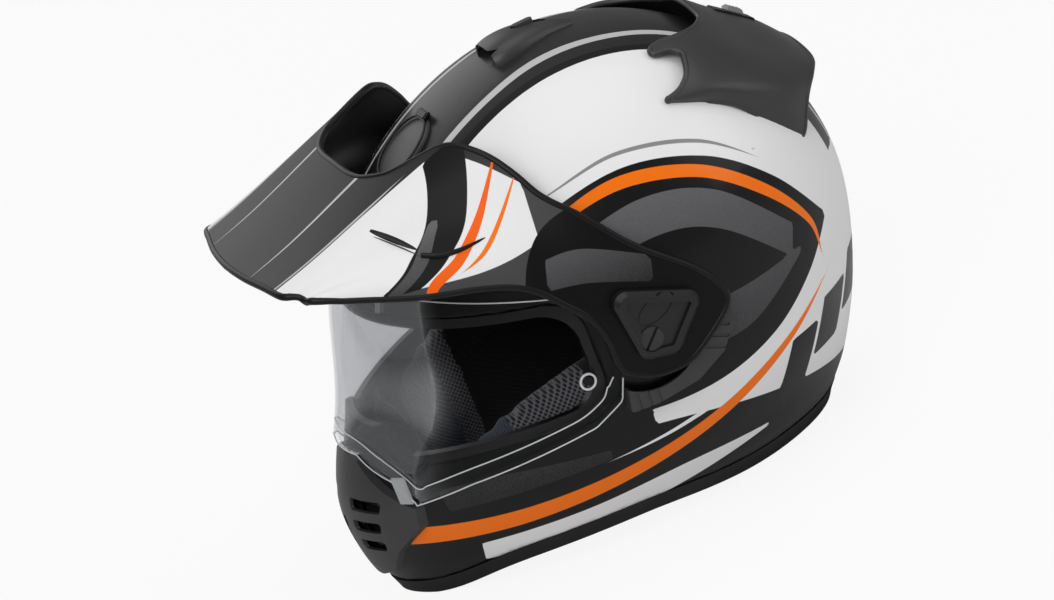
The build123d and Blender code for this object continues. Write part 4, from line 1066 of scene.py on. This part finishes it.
# %% The wing's net and outline
WING_ROWS = [
    (61.6, [(0.0, 264.1), (60.0, 252.0), (88.0, 237.9), (86.0, 229.0), (84.0, 211.9)]),
    (76.6, [(0.0, 262.0), (58.0, 251.5), (88.0, 231.0), (85.5, 222.1), (84.0, 207.1)]),
    (93.6, [(0.0, 259.4), (56.0, 249.2), (88.0, 227.9), (85.0, 214.0), (84.0, 197.0)]),
    (114.6, [(0.0, 254.6), (52.0, 241.2), (86.0, 218.1), (84.0, 194.0), (84.0, 172.1)]),
    (137.6, [(0.0, 236.0), (46.0, 224.4), (78.0, 205.0), (76.0, 172.1), (70.0, 152.1)]),
    (158.7, [(0.0, 219.1), (42.0, 208.0), (62.0, 196.0), (62.0, 176.1), (56.0, 160.1)]),
    (173.6, [(0.0, 201.9), (36.0, 196.0), (48.0, 190.1), (48.0, 182.0), (46.0, 172.1)])]
WING_SPANS = (0, 58, 92, 115, 140)
WING_WALL = 2.4
WING_EDGE = [
    (121.4, 0.0), (121.4, 0.46), (117.5, 0.65), (108.3, 0.83), (95.6, 0.92), (84.0, 0.94), (78.0, 1.0),
    (78.4, 1.1), (87.5, 1.14), (92.0, 1.25), (90.5, 1.40), (86.5, 1.63), (79.9, 1.83), (71.5, 2.1),
    (68.6, 2.5), (69.4, 2.9), (74.0, 3.12), (82.0, 3.08), (93.0, 2.84), (103.1, 2.72), (110.1, 2.76),
    (114.7, 2.92), (119.1, 3.12), (124.9, 3.18), (134.5, 3.1), (141.0, 2.95), (148.7, 2.5), (160.0, 2.0),
    (167.0, 1.5), (171.5, 1.0), (173.6, 0.5), (173.8, 0.0)]

# %% The wing, its lip and its lever
LEVER_LEAN = radians(38)
wing = moulding("wing", WING_ROWS, WING_EDGE, WING_SPANS, 3.0, WING_WALL, vent_abs, vent_abs)
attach(wing, "root")
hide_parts("rear_spoiler")
lip("wing_lip", WING_ROWS, WING_EDGE, 1.9, WING_WALL, "root", vent_abs)
block("rear_lever_guide", (0, 146.6, 229.0), -LEVER_LEAN, 0.0, (13, 26, 1.6), "root", lip_abs)
block("rear_lever_cap", (0, 148.1, 230.3), -LEVER_LEAN, 0.0, (9, 11, 3), "rear_vent_slider", lever_silver)

# %% [markdown]
# ## Cloth finishes
# The cheek pads are covered in open mesh cloth, whose holes let sweat through, and their front
# ends in blue grey knit. Further back, and on the other pads, the cover is black knit, brushed
# on the side that touches skin. On the cheek pads the black knit is partly painted shade for the
# dark deep inside the helmet, so it starts further forward on their inner faces. The pattern of
# each is worked out from the spacing of its threads.

# %% Open mesh
def open_mesh():
    """Polyester spacer mesh: holes 2.1 mm apart in a diamond lattice over a darker ground."""
    material, tree, shader = finish("polyester spacer mesh, grey", "#6f6f73", 0.7, **{"Sheen Weight": 0.15})
    place = add(tree, "ShaderNodeTexCoord")
    turned = add(tree, "ShaderNodeMapping",
                 {"Vector": place.outputs["Object"], "Rotation": (radians(45), 0, 0)})
    flat = add(tree, "ShaderNodeVectorMath", {0: turned.outputs[0], 1: (0.0, 1.0, 1.0)},
               operation="MULTIPLY")
    holes = add(tree, "ShaderNodeTexVoronoi",
                {"Vector": flat.outputs[0], "Scale": 1 / (2.1 * MM), "Randomness": 0.0})
    rim = add(tree, "ShaderNodeMapRange",
              {"Value": holes.outputs["Distance"], "From Min": 0.3, "From Max": 0.46})
    mix = add(tree, "ShaderNodeMix", {0: rim.outputs[0], 6: linear("#0f0f11"), 7: linear("#77777c")},
              data_type="RGBA")
    tree.links.new(mix.outputs[2], shader.inputs["Base Color"])
    bump = add(tree, "ShaderNodeBump", {"Height": rim.outputs[0], "Distance": 0.5 * MM, "Strength": 0.9})
    tree.links.new(bump.outputs[0], shader.inputs["Normal"])
    return material


# %% Knit
WAVE_PITCH = 0.314


def knit(name, colour, other, wale):
    """Brushed knit: soft rows of loops, wale metres apart, under a short nap.

    A wave texture at scale 1 has its bands WAVE_PITCH apart.
    """
    material, tree, shader = finish(name, colour, 0.9, **{"Sheen Weight": 0.15, "Sheen Roughness": 0.5})
    place = add(tree, "ShaderNodeTexCoord")
    rows = add(tree, "ShaderNodeTexWave",
               {"Vector": place.outputs["Object"], "Scale": WAVE_PITCH / wale, "Distortion": 1.2,
                "Detail": 1.0, "Detail Scale": 2.0}, bands_direction="DIAGONAL")
    nap = add(tree, "ShaderNodeTexNoise",
              {"Vector": place.outputs["Object"], "Scale": 1 / (1.2 * MM), "Detail": 3.0})
    both = add(tree, "ShaderNodeMath", {0: rows.outputs["Fac"], 1: nap.outputs[0]}, operation="MULTIPLY")
    mix = add(tree, "ShaderNodeMix", {0: both.outputs[0], 6: linear(other), 7: linear(colour)},
              data_type="RGBA")
    tree.links.new(mix.outputs[2], shader.inputs["Base Color"])
    bump = add(tree, "ShaderNodeBump", {"Height": both.outputs[0], "Distance": 0.35 * MM, "Strength": 0.8})
    tree.links.new(bump.outputs[0], shader.inputs["Normal"])
    return material


# %% Webbing
def woven_webbing():
    """Polyester webbing: a herringbone of ribs 1.4 mm apart along the strap's own length."""
    material, tree, shader = finish("polyester webbing, black", "#202021", 0.62, **{"Sheen Weight": 0.15})
    place = add(tree, "ShaderNodeUVMap", uv_map="along")
    parts = add(tree, "ShaderNodeSeparateXYZ", {"Vector": place.outputs["UV"]})
    folded = add(tree, "ShaderNodeMath", {0: parts.outputs["Y"], 1: 5 * MM}, operation="PINGPONG")
    total = add(tree, "ShaderNodeMath", {0: parts.outputs["X"], 1: folded.outputs[0]}, operation="ADD")
    turns = add(tree, "ShaderNodeMath", {0: total.outputs[0], 1: 2 * pi / (1.4 * MM)}, operation="MULTIPLY")
    ribs = add(tree, "ShaderNodeMath", {0: turns.outputs[0]}, operation="SINE")
    tone = add(tree, "ShaderNodeMapRange", {"Value": ribs.outputs[0], "From Min": -1.0})
    mix = add(tree, "ShaderNodeMix", {0: tone.outputs[0], 6: linear("#151516"), 7: linear("#323234")},
              data_type="RGBA")
    tree.links.new(mix.outputs[2], shader.inputs["Base Color"])
    bump = add(tree, "ShaderNodeBump", {"Height": ribs.outputs[0], "Distance": 0.15 * MM, "Strength": 0.7})
    tree.links.new(bump.outputs[0], shader.inputs["Normal"])
    return material


# %% The cloths and the thread
mesh_cloth = open_mesh()
end_knit = knit("brushed knit, blue grey", "#656e80", "#30363f", 1.6 * MM)
dark_knit = knit("brushed knit, black", "#101012", "#060607", 1.8 * MM)
webbing = woven_webbing()
thread = finish("polyester thread, black", "#2b2b2c", 0.6)[0]

# %% [markdown]
# ## Rows along a line
# Stitches and the ridges of a grip repeat along a line, which is what Geometry Nodes do well.
# One tree resamples a line at a pitch and puts a small rounded bead at each point, turned along
# the line. The result is realised and stored as a plain mesh.

# %% A tree that lays beads along a line
def bead_row_tree():
    tree = bpy.data.node_groups.new("beads along a line", "GeometryNodeTree")
    tree.interface.new_socket("Geometry", in_out="INPUT", socket_type="NodeSocketGeometry")
    for label in ("Pitch", "Length", "Width"):
        tree.interface.new_socket(label, in_out="INPUT", socket_type="NodeSocketFloat")
    tree.interface.new_socket("Material", in_out="INPUT", socket_type="NodeSocketMaterial")
    tree.interface.new_socket("Geometry", in_out="OUTPUT", socket_type="NodeSocketGeometry")
    given = add(tree, "NodeGroupInput")
    line = add(tree, "GeometryNodeResampleCurve",
               {"Curve": given.outputs["Geometry"], "Length": given.outputs["Pitch"]}, mode="LENGTH")
    way = add(tree, "GeometryNodeInputTangent")
    turn = add(tree, "FunctionNodeAlignRotationToVector", {"Vector": way.outputs[0]}, axis="X")
    bead = add(tree, "GeometryNodeMeshIcoSphere", {"Radius": 0.5, "Subdivisions": 1})
    size = add(tree, "ShaderNodeCombineXYZ", {"X": given.outputs["Length"], "Y": given.outputs["Width"],
                                              "Z": given.outputs["Width"]})
    placed = add(tree, "GeometryNodeInstanceOnPoints",
                 {"Points": line.outputs["Curve"], "Instance": bead.outputs["Mesh"],
                  "Rotation": turn.outputs[0], "Scale": size.outputs[0]})
    whole = add(tree, "GeometryNodeRealizeInstances", {"Geometry": placed.outputs["Instances"]})
    done = add(tree, "GeometryNodeSetMaterial",
               {"Geometry": whole.outputs[0], "Material": given.outputs["Material"]})
    add(tree, "NodeGroupOutput", {"Geometry": done.outputs[0]})
    return tree


beads = bead_row_tree()


# %% Laying the beads
def bead_row(name, lines, pitch, length, width, material, body):
    """Beads along each of some lines of (x, y, z) points, as one plain mesh that rides on a body."""
    curve = bpy.data.curves.new(name, "CURVE")
    curve.dimensions = "3D"
    for points in lines:
        spline = curve.splines.new("POLY")
        spline.points.add(len(points) - 1)
        spline.points.foreach_set("co", [v for x, y, z in points for v in (x, y, z, 1.0)])
    guide = put(name, curve)
    row = guide.modifiers.new("beads", "NODES")
    row.node_group = beads
    values = {"Pitch": pitch, "Length": length, "Width": width, "Material": material}
    for item in beads.interface.items_tree:
        if item.in_out == "INPUT" and item.name in values:
            row[item.identifier] = values[item.name]
    mesh = plain_mesh(guide)
    piece = put(name, mesh)
    mesh.shade_smooth()
    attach(piece, body)
    print(name, len(mesh.polygons), "faces")


# %% Ridges on the rear lever, where a gloved finger pushes
LEVER_TOP = (149.1, 231.5)
ridges = []
for down in (-3.3, -1.1, 1.1, 3.3):
    y = (LEVER_TOP[0] + down * cos(LEVER_LEAN)) * MM
    z = (LEVER_TOP[1] - down * sin(LEVER_LEAN)) * MM
    ridges.append([(x * MM, y, z) for x in np.linspace(-3.4, 3.4, 9)])
bead_row("rear_lever_ridges", ridges, 0.5 * MM, 1.0 * MM, 0.9 * MM, lever_silver, "rear_vent_slider")

# %% [markdown]
# ## Pads
# Each pad starts as its solid's mesh, remeshed into even squares. A short cloth simulation with
# pressure swells the cheek pads and the neck roll, as foam swells its cover, and a cap on how
# far a corner may move keeps them clear of their neighbours. Seams are drawn in, and one
# subdivision then smooths each pad.

# %% Foam under cloth
SWELL_FRAMES = 12


def remeshed(name, node, voxel):
    """A piece of even squares, voxel metres wide, in a solid's form."""
    piece = piece_from(name, welded(node))
    even = piece.modifiers.new("even squares", "REMESH")
    even.mode, even.voxel_size = "VOXEL", voxel
    made_real(piece, even)
    return piece


def move_corners(piece, places):
    """Puts a piece's corners at places in metres."""
    piece.data.vertices.foreach_set("co", places.ravel().astype(np.float32))
    piece.data.update()


def swell(piece, pressure, most):
    """Cloth with pressure, stopped early, with no corner moved further than most."""
    start = corners_of(piece) * MM
    cloth = piece.modifiers.new("cover", "CLOTH")
    cloth.settings.use_pressure = True
    cloth.settings.uniform_pressure_force = pressure
    cloth.settings.effector_weights.gravity = 0.0
    cloth.point_cache.frame_start, cloth.point_cache.frame_end = 1, SWELL_FRAMES
    for step in range(1, SWELL_FRAMES + 1):
        bpy.context.scene.frame_set(step)
    made_real(piece, cloth)
    bpy.context.scene.frame_set(1)
    moved = corners_of(piece) * MM - start
    far = np.linalg.norm(moved, axis=1, keepdims=True)
    move_corners(piece, start + moved * np.minimum(1.0, most / np.maximum(far, 1e-9)))
    print(piece.name, "swelled by up to", round(float(far.max()) / MM, 1), "mm, capped at", most / MM)


# %% Seams and a smooth surface
def draw_in(piece, seams, depth, reach):
    """Sewn seams: corners near a seam's surface sink along their normals, by depth at the seam.

    Each seam is a function of the corners' places that is nought on the seam.
    """
    places = corners_of(piece)
    normals = np.empty(len(piece.data.vertices) * 3, np.float32)
    piece.data.vertices.foreach_get("normal", normals)
    normals = normals.reshape(-1, 3)
    sink = np.zeros(len(places))
    for seam in seams:
        sink = np.maximum(sink, np.exp(-(seam(places) / reach) ** 2))
    places -= normals * (sink * depth)[:, None]
    move_corners(piece, places * MM)


def finer(piece):
    """One level of subdivision, applied."""
    smooth = piece.modifiers.new("finer", "SUBSURF")
    smooth.levels = smooth.render_levels = 1
    made_real(piece, smooth)
    piece.data.shade_smooth()


# %% Cheek pads, with the places in y where their cloth changes, in millimetres
KNIT_END = -80
MESH_END = -34
# On faces turned inward the black knit starts further forward, as painted shade inside the helmet.
MESH_END_SHADED_INSIDE = -66


def cheek_pad(side):
    """A swelled pad with a knit front end, mesh cloth behind it and black knit further back. The
    black knit is partly painted shade, for the dark deep inside the helmet.
    """
    pad = remeshed("cheek_pad_cover_" + side, "cheek_pad_" + side, 3.6 * MM)
    swell(pad, 3.0, 1.2 * MM)
    seams = [lambda p: p[:, 1] + 76, lambda p: p[:, 2] - 88 + 0.12 * (p[:, 1] + 40)]
    draw_in(pad, seams, 2.2, 2.6)
    finer(pad)
    for cloth in (mesh_cloth, end_knit, dark_knit):
        pad.data.materials.append(cloth)
    inward = -1 if side == "left" else 1
    for face in pad.data.polygons:
        mesh_end = MESH_END_SHADED_INSIDE if face.normal.x * inward > 0.5 else MESH_END
        if face.center.y < KNIT_END * MM:
            face.material_index = 1
        elif face.center.y >= mesh_end * MM:
            face.material_index = 2
    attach(pad, "root")
    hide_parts("cheek_pad_" + side)


cheek_pad("left")
cheek_pad("right")

# %% Comfort liner of the crown
def crown_liner():
    """A liner with sewn channels, two along and two across."""
    liner = remeshed("comfort_liner_cover", "comfort_liner", 3.4 * MM)
    channels = [lambda p: p[:, 0] - 24, lambda p: p[:, 0] + 24,
                lambda p: p[:, 1] + 10, lambda p: p[:, 1] - 52]
    draw_in(liner, channels, 2.0, 2.8)
    finer(liner)
    liner.data.materials.append(dark_knit)
    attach(liner, "root")
    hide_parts("comfort_liner")


# %% Neck roll
def roll():
    """A swelled roll with one seam round it."""
    collar = remeshed("neck_roll_cover", "neck_roll", 3.2 * MM)
    swell(collar, 2.5, 1.0 * MM)
    draw_in(collar, [lambda p: p[:, 2] - 20], 1.2, 2.4)
    finer(collar)
    collar.data.materials.append(dark_knit)
    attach(collar, "root")
    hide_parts("neck_roll")


crown_liner()
roll()

# %% [markdown]
# ## The strap
# The retention strap is flat polyester webbing. It leaves a riveted anchor on each side, lies
# flat below, and the short half turns back round the bars of two steel D rings. Webbing is made
# directly, as a ribbon with rounded edges and its own map for the weave, since a remesh would
# lose its thin edges.

# %% Ribbons
STRAP_Y = 39.6
STRAP_HALF = 10.0
STRAP_THICK = 1.5
STRAP_ROUND = 0.5
STRAP_ENTRY = [(88, 32), (82, 23), (75.7, 14), (72, 9.5), (67, 5), (61, 1.9), (55, 1.15), (46, 1.1)]
STRAP_LEFT = STRAP_ENTRY + [(41.8, 1.1), (39.6, 2.3), (39.3, 4.6), (41.2, 6.25), (44, 6.3), (47, 6.0),
                            (50, 4.4), (53, 3.1), (57, 2.95)]
STRAP_RIGHT = STRAP_ENTRY + [(30, 1.1), (14, 1.1), (2, 1.1), (-3.3, 1.3), (-3.8, 2.3), (-2.4, 2.85),
                             (4, 2.8), (15.5, 2.75)]


def ribbon_faces(count, rows):
    """Quads round a ribbon of some rows with count corners each, and its two ends."""
    quads = []
    for i in range(rows - 1):
        for j in range(count):
            k = (j + 1) % count
            quads.append((i * count + j, i * count + k, (i + 1) * count + k, (i + 1) * count + j))
    return quads, [tuple(range(count))[::-1], tuple((rows - 1) * count + j for j in range(count))]


def ribbon_mesh(name, line, half, thickness):
    """Webbing along a line of (x, z) points, with rounded edges and a map that runs along it."""
    ways = unit(np.gradient(line, axis=0))
    across = np.column_stack((-ways[:, 1], ways[:, 0]))
    t, flat = thickness / 2, half - STRAP_ROUND
    profile = [(-half, 0), (-flat, t), (0, t), (flat, t), (half, 0), (flat, -t), (0, -t), (-flat, -t)]
    corners, spots = [], []
    for place, normal, far in zip(line, across, run_lengths(line)):
        for wide, deep in profile:
            x, z = place + normal * deep
            corners.append((x * MM, (STRAP_Y + wide) * MM, z * MM))
            spots.append((far * MM, wide * MM))
    quads, ends = ribbon_faces(len(profile), len(line))
    mesh = bpy.data.meshes.new(name)
    mesh.from_pydata(corners, [], quads + ends)
    layer = mesh.uv_layers.new(name="along")
    maps = [spots[i] for quad in quads for i in quad] + [(0.0, 0.0)] * (2 * len(profile))
    layer.data.foreach_set("uv", [v for pair in maps for v in pair])
    return mesh


def ribbon(name, route, mirror, half, thickness):
    """A strap that lies still along a route of (x, z) points, with its width along y."""
    line = np.array(curved(route, 5))
    if mirror:
        line[:, 0] *= -1
    mesh = ribbon_mesh(name, line, half, thickness)
    work = bmesh.new()
    work.from_mesh(mesh)
    bmesh.ops.recalc_face_normals(work, faces=work.faces)
    work.to_mesh(mesh)
    work.free()
    piece = put(name, mesh)
    smooth_by_angle(piece, 50)
    mesh.materials.append(webbing)
    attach(piece, "root")
    return piece


short_strap = ribbon("strap_left_webbing", STRAP_LEFT, False, STRAP_HALF, STRAP_THICK)
long_strap = ribbon("strap_right_webbing", STRAP_RIGHT, True, STRAP_HALF, STRAP_THICK)
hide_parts("strap_left")
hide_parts("strap_right")

# %% Bar tacks where the straps are sewn
def tack(side, xs, height):
    """A line of stitches across the strap at each x."""
    return [[(side * x * MM, (STRAP_Y + a) * MM, height * MM) for a in np.linspace(-8, 8, 12)] for x in xs]


for name, lines in (("strap_left_stitches", tack(1, (51.5, 53.0, 54.5, 56.0), 3.95)),
                    ("strap_right_stitches", tack(-1, (2, 3.5, 11.5, 13), 3.65))):
    bead_row(name, lines, 1.6 * MM, 1.5 * MM, 0.5 * MM, thread, "root")
